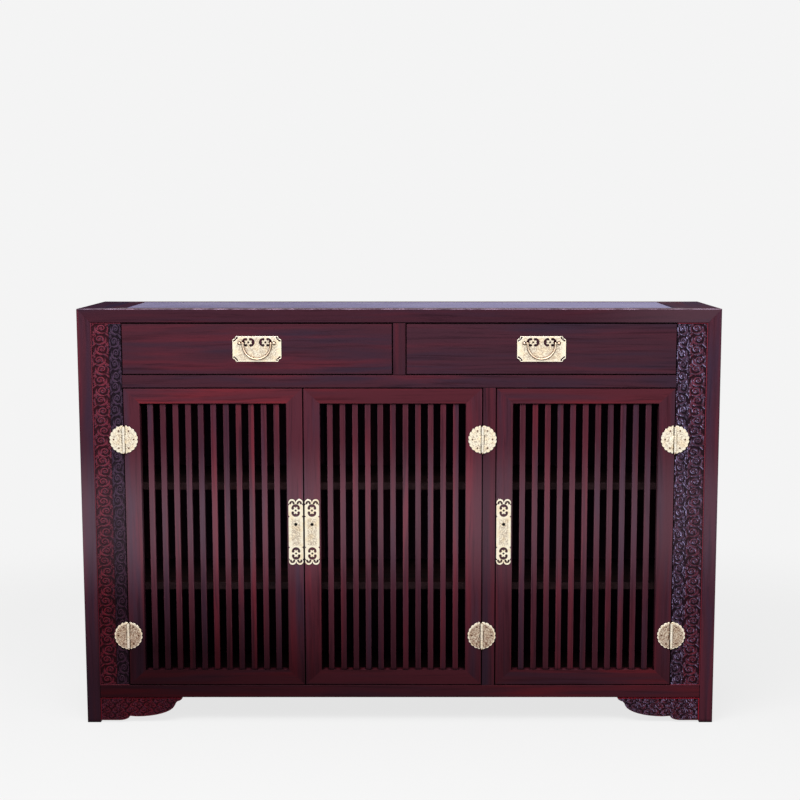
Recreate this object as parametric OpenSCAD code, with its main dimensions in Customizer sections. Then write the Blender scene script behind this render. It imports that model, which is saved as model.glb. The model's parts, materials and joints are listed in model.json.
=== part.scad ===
/* [Cabinet] */
// Width across the corner posts
body_w = 1600; // [1400:10:1900]
// Depth from the face of the doors to the back
body_d = 400; // [370:5:480]
// Height from the floor to the top
body_h = 1056; // [980:2:1160]
// Side of the square corner posts
post_t = 34; // [32:1:40]
// Clear height under the bottom rails
foot_gap = 66; // [60:1:90]

/* [Top] */
// Thickness of the top frame
top_t = 35; // [30:1:40]
// Width of the front and back members of the top frame
top_rail_w = 45; // [42:1:70]
// Width of the end members of the top frame
top_end_w = 117; // [90:1:140]
// Thickness of the inset slab
slab_t = 15; // [10:1:18]
// Width of the ledge that carries the slab
slab_ledge = 12; // [8:1:16]
// Gap round the slab
slab_gap = 0.5; // [0.3:0.1:1]
// Number of battens under the slab
batten_n = 3; // [2:1:5]
// Width of a batten under the slab
batten_w = 45; // [30:1:60]

/* [Front frame] */
// Height of the mid rail and the bottom rails
rail_h = 32; // [28:1:40]
// Width of the plain stiles
stile_w = 32; // [28:1:44]
// Width of each carved stile
carved_w = 75; // [60:1:90]
// Height of the drawer openings
drawer_open_h = 129; // [110:1:150]

/* [Joinery] */
// Length of the frame tenons
tenon_l = 16; // [12:1:18]
// Thickness of the frame tenons
tenon_t = 8; // [6:1:9]
// Distance from the outer face of a post to its tenons
tenon_set = 6; // [5:1:7]
// Clearance round tenons, tongues and tails
fit_gap = 0.2; // [0.1:0.05:0.3]
// Glue line between neighbouring pieces of one group
glue_line = 0.05; // [0.03:0.01:0.1]
// Depth of the grooves for panels and boards
groove_d = 8; // [6:1:9]

/* [Panels and boards] */
// Thickness of the side panels
side_panel_t = 10; // [8:1:12]
// Thickness of the back panels
back_panel_t = 8; // [6:1:10]
// Distance from the outer face of the frame to a panel
panel_set = 8; // [7:1:10]
// Thickness of the bottom board
bottom_t = 15; // [12:1:18]
// Step from the top of the bottom rail down to the bottom board
bottom_step = 3; // [1:1:6]
// Thickness of the dust boards under the drawers
dust_t = 8; // [6:1:9]
// Thickness of the partition
partition_t = 18; // [15:1:22]
// Thickness of the shelves
shelf_t = 18; // [15:1:24]
// Height of the top of the lower shelf
shelf_low_z = 356; // [300:1:400]
// Height of the top of the upper shelf
shelf_high_z = 614; // [560:1:660]
// Distance from the door face to the front edge of a shelf
shelf_set = 46; // [44:1:60]
// Thickness of a shelf cleat
cleat_t = 12; // [10:1:16]
// Height of a shelf cleat
cleat_h = 20; // [15:1:25]

/* [Brackets] */
// Length of a bracket along the bottom rail
bracket_l = 210; // [150:1:260]
// Height of a bracket beside the post
bracket_h = 61; // [50:1:61]
// Thickness of a bracket
bracket_t = 22; // [16:1:26]
// Distance from the face of the rail to the face of a bracket
bracket_set = 3; // [1:1:5]
// Width of the bead along the edges of a bracket
bead_w = 5; // [3:1:7]
// Projection of the bead
bead_t = 1.5; // [1:0.1:2.5]

/* [Doors] */
// Thickness of a door
door_t = 24; // [22:1:26]
// Width of the stiles of a door
door_frame_w = 41; // [40:1:50]
// Height of the rails of a door
door_rail_h = 38; // [36:1:50]
// Gap between a door and the frame round it
door_gap = 2; // [1.5:0.1:2.5]
// Gap between the two doors that meet
meeting_gap = 2.4; // [2.4:0.1:3.5]
// Number of slats in a door
slat_n = 11; // [8:1:13]
// Width of a slat
slat_w = 13.5; // [10:0.5:16]
// Thickness of a slat
slat_t = 14; // [10:1:16]
// Distance from the door face to the face of a slat
slat_set = 4; // [2:1:6]
// Length of the stub at each end of a slat
slat_stub = 8; // [5:1:12]

/* [Drawers] */
// Gap round a drawer front
drawer_gap = 2; // [1.2:0.1:2.5]
// Thickness of a drawer front
drawer_front_t = 20; // [18:1:24]
// Thickness of the drawer sides and back
drawer_side_t = 12; // [10:1:15]
// Thickness of a drawer bottom
drawer_bottom_t = 8; // [6:1:9]
// Depth of a drawer from its face to its back
drawer_d = 350; // [300:5:350]
// Clearance under the sides of a drawer
slide_gap = 0.3; // [0.3:0.1:0.6]
// Number of dovetails on each side
tail_n = 3; // [2:1:4]
// Length of a dovetail
tail_l = 12; // [8:1:14]
// Width of a dovetail at its root
tail_w = 16; // [12:1:20]
// Flare of a dovetail on each side
tail_flare = 3; // [2:1:4]
// Width of the runner under the side of a drawer
runner_w = 22; // [18:1:30]
// Thickness of the runners and kickers
runner_t = 18; // [15:1:20]
// Height of the guides beside the drawers
guide_h = 16; // [10:1:20]
// Width of the outer guides
guide_w = 12; // [8:1:20]

/* [Hinges] */
// Radius of a round hinge out to its lobes
hinge_r = 35.5; // [32:0.5:38]
// Radius of one lobe
lobe_r = 6.4; // [5.8:0.1:6.6]
// Number of lobes round a hinge
lobe_n = 20; // [18:2:22]
// Thickness of the brass leaves and plates
brass_t = 1.5; // [1:0.1:1.8]
// Radius of the hinge knuckles
knuckle_r = 4; // [4:0.1:4.5]
// Length of the knuckles together
knuckle_l = 64; // [60:1:70]
// Gap between neighbouring knuckles and leaves
knuckle_gap = 0.4; // [0.3:0.1:0.6]
// Radius of a hinge pin
pin_r = 1.5; // [1.2:0.1:1.8]
// Running clearance round a hinge pin
pin_gap = 0.05; // [0.03:0.01:0.1]
// Distance from the end of a door to the middle of a hinge
hinge_in = 128; // [90:1:180]
// Radius of the circle of nails
nail_pcr = 25; // [22:0.5:26]
// Radius of a nail head
nail_head_r = 2.2; // [1.8:0.1:2.5]
// Height of a nail head
nail_head_h = 0.9; // [0.6:0.1:1]
// Radius of a nail shank
nail_r = 0.9; // [0.7:0.1:1.1]
// Length of a nail under its head
nail_l = 11; // [8:1:14]

/* [Lock plates] */
// Width of a lock plate
lock_plate_w = 36.5; // [34:0.5:39]
// Distance from the free edge of a door to its lock plate
lock_plate_in = 1; // [0.5:0.1:2]
// Height of a lock plate
lock_plate_h = 168; // [150:1:190]
// Height of a lock plate's middle above the middle of the door
lock_plate_up = 16; // [0:1:30]
// Height of the key hole above the middle of its plate
key_up = 19.5; // [15:0.5:25]
// Radius of the key hole
key_r = 3.4; // [2.5:0.1:4]
// Width of a lock case
lock_case_w = 26; // [20:1:30]
// Height of a lock case
lock_case_h = 44; // [36:1:60]
// Thickness of a lock case
lock_case_t = 9; // [7:1:12]

/* [Drawer pulls] */
// Width of a pull plate
pull_plate_w = 121; // [110:1:140]
// Height of a pull plate
pull_plate_h = 63; // [60:1:75]
// Length of the clipped corners along each edge
pull_clip = 10; // [8:1:12]
// Height of the bail pivot above the middle of the plate
pivot_up = 14.5; // [12:0.5:16]
// Distance from the drawer face out to the bail pivot
pivot_out = 6.5; // [6.2:0.1:8]
// Distance from the middle of the plate to a bail post
post_off = 43; // [42:0.5:46]
// Radius of the head of a bail post
bail_post_r = 4.5; // [4:0.1:5]
// Radius of the shank of a bail post
shank_r = 2; // [1.6:0.1:2.4]
// Radius of the bail at its middle line
bail_r = 34.3; // [32:0.1:35]
// Length of the straight legs of a bail
bail_leg = 5; // [4:0.5:10]
// Radius of the bail rod
rod_r = 3; // [2.4:0.1:3.2]
// Radius of the pins at the ends of a bail
bail_pin_r = 1.6; // [1.2:0.1:1.8]
// Running clearance round the bail pins
bail_pin_gap = 0.1; // [0.05:0.01:0.1]

/* [Catches] */
// Width of a door catch
catch_w = 45; // [30:1:60]
// Height of a door catch
catch_h = 14; // [10:1:18]
// Depth of a door catch
catch_d = 12; // [10:1:16]
// Thickness of the strike on a door
strike_t = 1; // [0.8:0.1:1.2]
// Gap between a closed door's strike and its catch
catch_gap = 0.3; // [0.3:0.1:0.6]

/* [Hidden] */
$fn = 48;

rosewood = "#4b1c22";
rosewood_dark = "#35131a";
carved_wood = "#431a20";
inner_wood = "#5a3028";
brass = "#dccb96";
steel = "#9a9a9c";
slab_grey = "#57525e";

// The cabinet is centred in depth on its box, which the bail posts in front belong to
hardware_reach = pivot_out + bail_post_r;
set_back = hardware_reach / 2;
half_w = body_w / 2;
front = -body_d / 2;
back = body_d / 2;
post_in = half_w - post_t;
open_x = post_in - carved_w;
slab_x = half_w - top_end_w;
slab_y = back - top_rail_w;
inner_front = front + post_t;
inner_back = back - post_t;

// Levels from the floor up
z_bottom = foot_gap + rail_h;
z_top = body_h - top_t;
z_drawer = z_top - drawer_open_h;
z_mid = z_drawer - rail_h;
z_slab = body_h - slab_t;
z_board = z_bottom - bottom_step;
z_dust = z_drawer - runner_t / 2 - dust_t / 2;
shelf_tops = [shelf_low_z, shelf_high_z];

// The three doors share the opening with the tall stile
door_pitch = (2 * open_x - stile_w) / 3;
meet_x = -open_x + door_pitch;
door_stile_x = -open_x + 2 * door_pitch + stile_w / 2;
door_z0 = z_bottom + door_gap;
door_z1 = z_mid - door_gap;
left_door_x = [-open_x + door_gap, meet_x - meeting_gap / 2];
middle_door_x = [meet_x + meeting_gap / 2, door_stile_x - stile_w / 2 - door_gap];
right_door_x = [door_stile_x + stile_w / 2 + door_gap, open_x - door_gap];
hinge_zs = [door_z0 + hinge_in, door_z1 - hinge_in];
pivot_y = front - knuckle_r;
lock_z = (door_z0 + door_z1) / 2 + lock_plate_up;

// Each drawer fills its half of the opening
drawer_w = open_x - stile_w / 2 - 2 * drawer_gap;
drawer_x = (open_x + stile_w / 2) / 2;
drawer_z0 = z_drawer + drawer_gap;
drawer_z1 = z_top - drawer_gap;
side_z0 = z_drawer + slide_gap;
side_z1 = z_top - runner_t - drawer_gap;
pull_z = (drawer_z0 + drawer_z1) / 2;

// Joints of the frame
overlap = 1;
tongue_t = tenon_t;
tenon_shoulder = 6;
tenon_h = rail_h - 2 * tenon_shoulder;
plain_tenon_w = stile_w - 2 * tenon_shoulder;
carved_tenon_w = carved_w / 2;
carved_tongue_l = 5;
mid_tenon_l = 22;
mid_setting = (post_t - tenon_t) / 2;
batten_tenon_l = 9;
batten_tenon_up = 4;
post_tenon_w = 14;
post_tenon_h = 20;
post_tenon_x = 2;
post_tenon_y = 1;
carved_x = (post_in + open_x) / 2;

// Edges of the runners next to the dust boards
centre_half = stile_w / 2 + runner_w;
outer_inner_x = open_x - runner_w;

// Shares of a bracket's length where its edge steps, and of its height where each lobe starts and ends
bracket_foot = 0.22;
bracket_step = 0.35;
bracket_belly = 0.44;
bracket_tip = 0.905;
foot_drop = 0.82;
belly_drops = [0.84, 0.3];
tip_drop = 0.2;
bracket_most = 0.85;
bracket_tongue_l = 5;

// Shares of a door member's width where its tenon starts and ends
door_tenon_start = 0.25;
door_tenon_low = 0.3;
door_tenon_high = 0.85;

// Joints of the drawers
drawer_groove = 6;
bottom_lift = 8;
dado_d = 4;
tail_pitch = (side_z1 - side_z0) / tail_n;

// Hinges, nails and catches; the middle third of the knuckles turns with the door
knuckle_third = knuckle_l / 3;
pin_lift = 0.2;
pin_head_t = 1.2;
pin_end_r = knuckle_r - brass_t - pin_lift;
nail_angles = [-60, 0, 60];
nail_clearance = 0.05;
catch_in = 60;
catch_y = front + door_t + strike_t + catch_gap;
catch_xs = [left_door_x[1] - catch_in, middle_door_x[0] + catch_in, right_door_x[0] + catch_in];

// Ornament of the plates
cloud_r = 10;
cloud_apart = 0.54 * cloud_r;
cloud_end_r = 0.25 * cloud_r;
scroll_r = 9;
slit_w = 3;
nick_r = 2.3;
field_share = 0.47;
pull_cloud_x = 21.3;
pull_cloud_up = 16.5;

module placed() {
    translate([0, set_back, 0]) children();
}

module block(lo, hi) {
    translate(lo) cube(hi - lo);
}

module grown(lo, hi, grow) {
    block(lo - [grow, grow, grow], hi + [grow, grow, grow]);
}

// A board with tongues along a and b and no tongue at its corners
module tongued(lo, hi, a, b, tongue, grow) {
    grown(lo - tongue * a, hi + tongue * a, grow);
    grown(lo - tongue * b, hi + tongue * b, grow);
}

// What is drawn at the front left corner goes to side sx and end sy
module corner(sx, sy) {
    mirror([sx > 0 ? 1 : 0, 0, 0]) mirror([0, sy > 0 ? 1 : 0, 0]) children();
}

module both_sides() {
    children();
    mirror([1, 0, 0]) children();
}

module both_ends() {
    children();
    mirror([0, 1, 0]) children();
}

// Prism with its outline in X and Z, running along Y
module prism_y(y0, y1) {
    translate([0, y1, 0]) rotate([90, 0, 0]) linear_extrude(y1 - y0) children();
}

// Prism with its outline in Y and Z, running along X
module prism_x(x0, x1) {
    translate([x0, 0, 0]) rotate([90, 0, 90]) linear_extrude(x1 - x0) children();
}

// Flat outline in X and Z laid on the face of the doors and drawers
module on_face(t) {
    prism_y(front - t, front) children();
}

// Three-way mitre at the head of a post
module post_head(grow) {
    top = body_h + grow;
    intersection() {
        prism_y(front - grow, inner_front)
            polygon([[-half_w - grow, top + grow], [-post_in, z_top], [-post_in, z_top - overlap],
                [-half_w - grow, z_top - overlap]]);
        prism_x(-half_w - grow, -post_in)
            polygon([[front - grow, top + grow], [inner_front, z_top], [inner_front, z_top - overlap],
                [front - grow, z_top - overlap]]);
    }
}

// Tenon that stands up from a post into the top frame
module post_tenon(grow) {
    x1 = -post_in - post_tenon_x;
    y1 = inner_front - post_tenon_y;
    grown([x1 - post_tenon_w, y1 - post_tenon_w, z_top - overlap], [x1, y1, z_top + post_tenon_h], grow);
}

module side_rail_tenon(grow) {
    z0 = foot_gap + (rail_h - tenon_h) / 2;
    grown([-half_w + tenon_set, inner_front - tenon_l, z0],
        [-half_w + tenon_set + tenon_t, inner_front + overlap, z0 + tenon_h], grow);
}

// Tenon of a front or back rail in its left post
module cross_rail_tenon(z, grow) {
    z0 = z + (rail_h - tenon_h) / 2;
    grown([-post_in - tenon_l, front + tenon_set, z0],
        [-post_in + overlap, front + tenon_set + tenon_t, z0 + tenon_h], grow);
}

module carved_tongue(grow) {
    grown([-post_in - carved_tongue_l, front + mid_setting, z_bottom + 2 * rail_h],
        [-post_in + overlap, front + mid_setting + tongue_t, z_top - 2 * rail_h], grow);
}

module side_panel_shape(grow) {
    x0 = -half_w + panel_set;
    tongued([x0, inner_front, z_bottom], [x0 + side_panel_t, inner_back, z_top],
        [0, 1, 0], [0, 0, 1], groove_d, grow);
}

module post_blank() {
    block([-half_w, front, 0], [-post_in, inner_front, z_top]);
    post_head(0);
    post_tenon(0);
}

module post_front(sx) {
    color(rosewood) placed() corner(sx, -1) difference() {
        post_blank();
        side_rail_tenon(fit_gap);
        cross_rail_tenon(foot_gap, fit_gap);
        carved_tongue(fit_gap);
        side_panel_shape(fit_gap);
        bracket_tongues(fit_gap);
    }
}

module post_back(sx) {
    color(rosewood) placed() corner(sx, 1) difference() {
        post_blank();
        side_rail_tenon(fit_gap);
        cross_rail_tenon(foot_gap, fit_gap);
        cross_rail_tenon(z_mid, fit_gap);
        side_panel_shape(fit_gap);
        mirror([0, 1, 0]) back_panel_shapes(fit_gap);
    }
}

// Tenon that locks the mitre between a top rail and an end member, in shares of their sizes
module mitre_tenon(grow) {
    grown([-slab_x - 0.5 * top_end_w, front + 0.5 * top_rail_w, z_top + 0.2 * top_t],
        [-slab_x - 0.1 * top_end_w, front + 0.75 * top_rail_w, z_top + 0.5 * top_t], grow);
}

// Tenon at the top or the bottom of a stile, w wide and centred on x
module stile_tenon(x, w, z, up, grow) {
    z0 = up ? z - overlap : z - tenon_l;
    z1 = up ? z + tenon_l : z + overlap;
    grown([x - w / 2, front + mid_setting, z0], [x + w / 2, front + mid_setting + tenon_t, z1], grow);
}

module batten_at(i) {
    translate([-slab_x + 2 * slab_x * (i + 1) / (batten_n + 1), 0, 0]) children();
}

module batten_tenons(grow) {
    y0 = front + top_rail_w + slab_ledge;
    z0 = z_top + batten_tenon_up;
    for (i = [0:batten_n - 1])
        batten_at(i)
            grown([-batten_w / 3, y0 - batten_tenon_l, z0],
                [batten_w / 3, y0 + overlap, z0 + tenon_t], grow);
}

module top_rail_shape() {
    y1 = front + top_rail_w;
    translate([0, 0, z_top]) linear_extrude(top_t)
        polygon([[-half_w, front], [half_w, front], [slab_x, y1], [-slab_x, y1]]);
    translate([0, 0, z_top]) linear_extrude(top_t - slab_t)
        polygon([[-slab_x, y1 - overlap], [slab_x, y1 - overlap], [slab_x, y1],
            [slab_x - slab_ledge, y1 + slab_ledge], [-slab_x + slab_ledge, y1 + slab_ledge], [-slab_x, y1]]);
}

module top_rail_blank() {
    difference() {
        union() {
            top_rail_shape();
            both_sides() mitre_tenon(0);
        }
        both_sides() {
            post_head(0);
            post_tenon(fit_gap);
        }
        batten_tenons(fit_gap);
    }
}

module top_rail_front() {
    color(rosewood) placed() difference() {
        top_rail_blank();
        both_sides() stile_tenon(-carved_x, carved_tenon_w, z_top, true, fit_gap);
        stile_tenon(0, plain_tenon_w, z_top, true, fit_gap);
    }
}

module top_rail_back() {
    color(rosewood) placed() difference() {
        mirror([0, 1, 0]) top_rail_blank();
        back_panel_shapes(fit_gap);
    }
}

module top_end(sx) {
    x1 = -slab_x + slab_ledge;
    color(rosewood_dark) placed() corner(sx, -1) difference() {
        union() {
            translate([0, 0, z_top]) linear_extrude(top_t)
                polygon([[-half_w, front], [-slab_x, -slab_y], [-slab_x, slab_y], [-half_w, back]]);
            translate([0, 0, z_top]) linear_extrude(top_t - slab_t)
                polygon([[-slab_x - overlap, -slab_y], [-slab_x, -slab_y], [x1, -slab_y + slab_ledge],
                    [x1, slab_y - slab_ledge], [-slab_x, slab_y], [-slab_x - overlap, slab_y]]);
        }
        for (sy = [-1, 1])
            corner(-1, sy) {
                post_head(0);
                post_tenon(fit_gap);
                mitre_tenon(fit_gap);
            }
        side_panel_shape(fit_gap);
        back_panel_shapes(fit_gap);
        both_ends() stile_tenon(-carved_x, carved_tenon_w, z_top, true, fit_gap);
    }
}

module top_slab() {
    x1 = slab_x - slab_gap;
    y1 = slab_y - slab_gap;
    color(slab_grey) placed() block([-x1, -y1, z_slab], [x1, y1, body_h]);
}

module top_battens() {
    y0 = front + top_rail_w + slab_ledge;
    color(inner_wood) placed() {
        for (i = [0:batten_n - 1])
            batten_at(i) block([-batten_w / 2, y0, z_top], [batten_w / 2, -y0, z_slab]);
        batten_tenons(0);
        mirror([0, 1, 0]) batten_tenons(0);
    }
}

module mid_rail_tenons(grow) {
    z0 = z_mid + (rail_h - tenon_h) / 2;
    both_sides()
        grown([-open_x - mid_tenon_l, front + mid_setting, z0],
            [-open_x + overlap, front + mid_setting + tenon_t, z0 + tenon_h], grow);
}

module carved_stile(sx) {
    color(carved_wood) placed() corner(sx, -1) difference() {
        union() {
            block([-post_in, front, z_bottom], [-open_x, inner_front, z_top]);
            stile_tenon(-carved_x, carved_tenon_w, z_top, true, 0);
            stile_tenon(-carved_x, carved_tenon_w, z_bottom, false, 0);
            carved_tongue(0);
        }
        mid_rail_tenons(fit_gap);
        hinge_nail_holes();
    }
}

module mid_rail() {
    color(rosewood) placed() difference() {
        union() {
            block([-open_x, front, z_mid], [open_x, inner_front, z_drawer]);
            mid_rail_tenons(0);
        }
        stile_tenon(0, plain_tenon_w, z_drawer, false, fit_gap);
        stile_tenon(door_stile_x, plain_tenon_w, z_mid, true, fit_gap);
        dust_board_shapes(fit_gap);
    }
}

module drawer_stile() {
    color(rosewood) placed() {
        block([-stile_w / 2, front, z_drawer], [stile_w / 2, inner_front, z_top]);
        stile_tenon(0, plain_tenon_w, z_top, true, 0);
        stile_tenon(0, plain_tenon_w, z_drawer, false, 0);
    }
}

module door_stile() {
    color(rosewood) placed() difference() {
        union() {
            translate([door_stile_x, 0, 0])
                block([-stile_w / 2, front, z_bottom], [stile_w / 2, inner_front, z_mid]);
            stile_tenon(door_stile_x, plain_tenon_w, z_mid, true, 0);
            stile_tenon(door_stile_x, plain_tenon_w, z_bottom, false, 0);
        }
        hinge_nail_holes();
    }
}

module bottom_rail_front() {
    color(rosewood) placed() difference() {
        union() {
            block([-post_in, front, foot_gap], [post_in, inner_front, z_bottom]);
            both_sides() cross_rail_tenon(foot_gap, 0);
        }
        both_sides() {
            stile_tenon(-carved_x, carved_tenon_w, z_bottom, false, fit_gap);
            bracket_tongues(fit_gap);
        }
        stile_tenon(door_stile_x, plain_tenon_w, z_bottom, false, fit_gap);
        bottom_board_shape(fit_gap);
    }
}

module bottom_rails_side() {
    color(rosewood) placed() both_sides() difference() {
        union() {
            block([-half_w, inner_front, foot_gap], [-post_in, inner_back, z_bottom]);
            side_rail_tenon(0);
            mirror([0, 1, 0]) side_rail_tenon(0);
        }
        side_panel_shape(fit_gap);
        bottom_board_shape(fit_gap);
    }
}

module back_rail_blank(z) {
    block([-post_in, inner_back, z], [post_in, back, z + rail_h]);
    mirror([0, 1, 0]) both_sides() cross_rail_tenon(z, 0);
}

module muntin_tenons(grow) {
    mirror([0, 1, 0]) both_sides() {
        stile_tenon(door_stile_x, plain_tenon_w, z_mid, true, grow);
        stile_tenon(door_stile_x, plain_tenon_w, z_bottom, false, grow);
    }
}

module muntin_blank() {
    translate([door_stile_x, 0, 0])
        block([-stile_w / 2, inner_back, z_bottom + glue_line], [stile_w / 2, back, z_mid - glue_line]);
}

// Two rails and two muntins behind
module back_frame() {
    color(rosewood_dark) placed() difference() {
        union() {
            difference() {
                union() {
                    back_rail_blank(foot_gap);
                    back_rail_blank(z_mid);
                }
                muntin_tenons(fit_gap);
            }
            both_sides() muntin_blank();
            muntin_tenons(-glue_line);
        }
        back_panel_shapes(fit_gap);
        bottom_board_shape(fit_gap);
        dust_board_shapes(fit_gap);
    }
}

module back_panel_shape(x0, x1, z0, z1, grow) {
    y1 = back - panel_set;
    tongued([x0, y1 - back_panel_t, z0], [x1, y1, z1], [1, 0, 0], [0, 0, 1], groove_d, grow);
}

module back_panel_shapes(grow) {
    bay = door_stile_x - stile_w / 2;
    back_panel_shape(-bay, bay, z_bottom, z_mid, grow);
    both_sides() back_panel_shape(bay + stile_w, post_in, z_bottom, z_mid, grow);
    back_panel_shape(-post_in, post_in, z_drawer, z_top, grow);
}

module back_panels() {
    color(rosewood_dark) placed() back_panel_shapes(0);
}

module side_panel(sx) {
    color(rosewood) placed() corner(sx, -1) side_panel_shape(0);
}

// One lobe of the bracket's edge: a quarter of an ellipse from drop a down to drop b
function edge_lobe(x0, x1, a, b, n) =
    [for (i = [0:n]) [x0 + (x1 - x0) * sin(90 * i / n), b + (a - b) * cos(90 * i / n)]];

module bracket_outline() {
    l = bracket_l;
    h = bracket_h;
    foot = edge_lobe(bracket_foot * l, bracket_step * l, h, foot_drop * h, 5);
    belly = edge_lobe(bracket_belly * l, bracket_tip * l, belly_drops[0] * h, belly_drops[1] * h, 9);
    tip = edge_lobe(bracket_tip * l, l, tip_drop * h, 0, 5);
    outline = concat([[0, 0], [0, bracket_h]], foot, belly, tip);
    polygon([for (p = outline) [-post_in + p[0], foot_gap - p[1]]]);
}

// Tongues along most of a bracket's top edge and most of its side
module bracket_tongues(grow) {
    y0 = front + bracket_set + bracket_t / 2 - tongue_t / 2;
    y1 = y0 + tongue_t;
    along = bracket_most * bracket_l;
    low = foot_gap - bracket_most * bracket_h;
    grown([-post_in, y0, foot_gap - overlap], [-post_in + along, y1, foot_gap + bracket_tongue_l], grow);
    grown([-post_in - bracket_tongue_l, y0, low], [-post_in + overlap, y1, foot_gap - bracket_set], grow);
}

module bracket(sx) {
    color(carved_wood) placed() corner(sx, -1) {
        y0 = front + bracket_set;
        prism_y(y0, y0 + bracket_t) bracket_outline();
        prism_y(y0 - bead_t, y0 + overlap) intersection() {
            bracket_outline();
            union() {
                translate([-post_in, foot_gap - bead_w]) square([bracket_l, bead_w]);
                translate([-post_in, foot_gap - bracket_h]) square([bead_w, bracket_h]);
            }
        }
        bracket_tongues(0);
    }
}

module bottom_board_shape(grow) {
    tongued([-post_in, inner_front, z_board - bottom_t], [post_in, inner_back, z_board],
        [1, 0, 0], [0, 1, 0], groove_d, grow);
}

module bottom_board() {
    color(inner_wood) placed() bottom_board_shape(0);
}

module partition() {
    color(inner_wood) placed() translate([door_stile_x, 0, 0])
        block([-partition_t / 2, inner_front, z_board], [partition_t / 2, inner_back, z_dust]);
}

module dust_board_shapes(grow) {
    both_sides()
        tongued([-outer_inner_x, inner_front, z_dust], [-centre_half, inner_back, z_dust + dust_t],
            [1, 0, 0], [0, 1, 0], groove_d, grow);
}

module dust_boards() {
    color(inner_wood) placed() dust_board_shapes(0);
}

// Runners with their guides, and kickers that keep an open drawer level
module drawer_runners() {
    runner_z = z_drawer - runner_t;
    kicker_z = z_top - runner_t;
    color(inner_wood) placed() {
        difference() {
            union() {
                both_sides() {
                    block([-post_in, inner_front, runner_z], [-outer_inner_x, inner_back, z_drawer]);
                    block([-open_x - guide_w, inner_front, z_drawer - overlap],
                        [-open_x, inner_back, z_drawer + guide_h]);
                }
                block([-centre_half, inner_front, runner_z], [centre_half, inner_back, z_drawer]);
                block([-stile_w / 2, inner_front, z_drawer - overlap],
                    [stile_w / 2, inner_back, z_drawer + guide_h]);
            }
            dust_board_shapes(fit_gap);
        }
        both_sides() block([-open_x - guide_w, inner_front, kicker_z], [-outer_inner_x, inner_back, z_top]);
        block([-centre_half, inner_front, kicker_z], [centre_half, inner_back, z_top]);
    }
}

module shelves() {
    gap = fit_gap;
    color(inner_wood) placed()
        for (z = shelf_tops) {
            block([-post_in + gap, front + shelf_set, z - shelf_t],
                [door_stile_x - partition_t / 2 - gap, inner_back, z]);
            block([door_stile_x + partition_t / 2 + gap, front + shelf_set, z - shelf_t],
                [post_in - gap, inner_back, z]);
        }
}

module shelf_cleats() {
    p0 = door_stile_x - partition_t / 2;
    p1 = door_stile_x + partition_t / 2;
    color(inner_wood) placed()
        for (z = shelf_tops)
            translate([0, 0, z - shelf_t - cleat_h]) {
                both_sides()
                    block([-post_in, inner_front, 0],
                        [-post_in + cleat_t, back - panel_set - back_panel_t, cleat_h]);
                block([p0 - cleat_t, inner_front, 0], [p0, inner_back, cleat_h]);
                block([p1, inner_front, 0], [p1 + cleat_t, inner_back, cleat_h]);
            }
}

module door_catches() {
    color(steel) placed()
        for (x = catch_xs)
            block([x - catch_w / 2, catch_y, z_mid - catch_h], [x + catch_w / 2, catch_y + catch_d, z_mid]);
}

// Outline of a round hinge with lobes all round
module flower() {
    circle(hinge_r - lobe_r + overlap);
    for (i = [0:lobe_n - 1])
        rotate((i + 0.5) * 360 / lobe_n) translate([hinge_r - lobe_r, 0]) circle(lobe_r);
}

module at_nails() {
    for (a = nail_angles)
        rotate(a) translate([nail_pcr, 0]) children();
}

// Half of the round hinge on the +X side of the pin; the door's leaf has the middle knuckle
module leaf_outline(moving) {
    cut = knuckle_r + knuckle_gap;
    difference() {
        intersection() {
            flower();
            translate([knuckle_gap / 2, -hinge_r]) square([hinge_r, 2 * hinge_r]);
        }
        if (moving)
            for (s = [-1, 1])
                translate([0, s * (knuckle_third / 2 + hinge_r / 2) - hinge_r / 2]) square([cut, hinge_r]);
        else
            translate([0, -knuckle_third / 2 - knuckle_gap]) square([cut, knuckle_third + 2 * knuckle_gap]);
        at_nails() circle(nail_r);
    }
}

module knuckle(z0, z1) {
    translate([0, pivot_y, z0]) cylinder(h = z1 - z0, r = knuckle_r);
}

module leaf(moving) {
    half = knuckle_third / 2;
    difference() {
        union() {
            on_face(brass_t) leaf_outline(moving);
            if (moving)
                knuckle(-half, half);
            else {
                knuckle(half + knuckle_gap, knuckle_l / 2);
                knuckle(-knuckle_l / 2, -half - knuckle_gap);
            }
        }
        translate([0, pivot_y, -knuckle_l]) cylinder(h = 2 * knuckle_l, r = pin_r + pin_gap);
    }
}

module nail() {
    translate([0, -brass_t - glue_line, 0]) rotate([90, 0, 0]) {
        intersection() {
            cylinder(h = nail_head_h, r = nail_head_r);
            translate([0, 0, nail_head_h - 2 * nail_head_r]) sphere(2 * nail_head_r);
        }
        translate([0, 0, -nail_l]) cylinder(h = nail_l + nail_head_h / 2, r = nail_r - nail_clearance);
    }
}

module leaf_with_nails(moving) {
    leaf(moving);
    for (a = nail_angles)
        translate([nail_pcr * cos(a), front, nail_pcr * sin(a)]) nail();
}

// Hinge pins stand at the outer edge of the left and right doors and beside the tall stile
function hinge_x(door_edge, frame_edge) = (door_edge + frame_edge) / 2;
left_pin_x = hinge_x(left_door_x[0], -open_x);
middle_pin_x = hinge_x(middle_door_x[1], door_stile_x - stile_w / 2);
right_pin_x = hinge_x(right_door_x[1], open_x);

// side is +1 where the door lies to the +X side of its pins
module at_hinges(x, side) {
    for (z = hinge_zs)
        translate([x, 0, z]) mirror([side < 0 ? 1 : 0, 0, 0]) children();
}

module hinge_nail_holes() {
    for (h = [[left_pin_x, 1], [middle_pin_x, -1], [right_pin_x, -1]])
        at_hinges(h[0], h[1])
            both_sides()
                for (a = nail_angles)
                    translate([nail_pcr * cos(a), front - overlap, nail_pcr * sin(a)]) rotate([-90, 0, 0])
                        cylinder(h = nail_l + overlap, r = nail_r);
}

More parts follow.
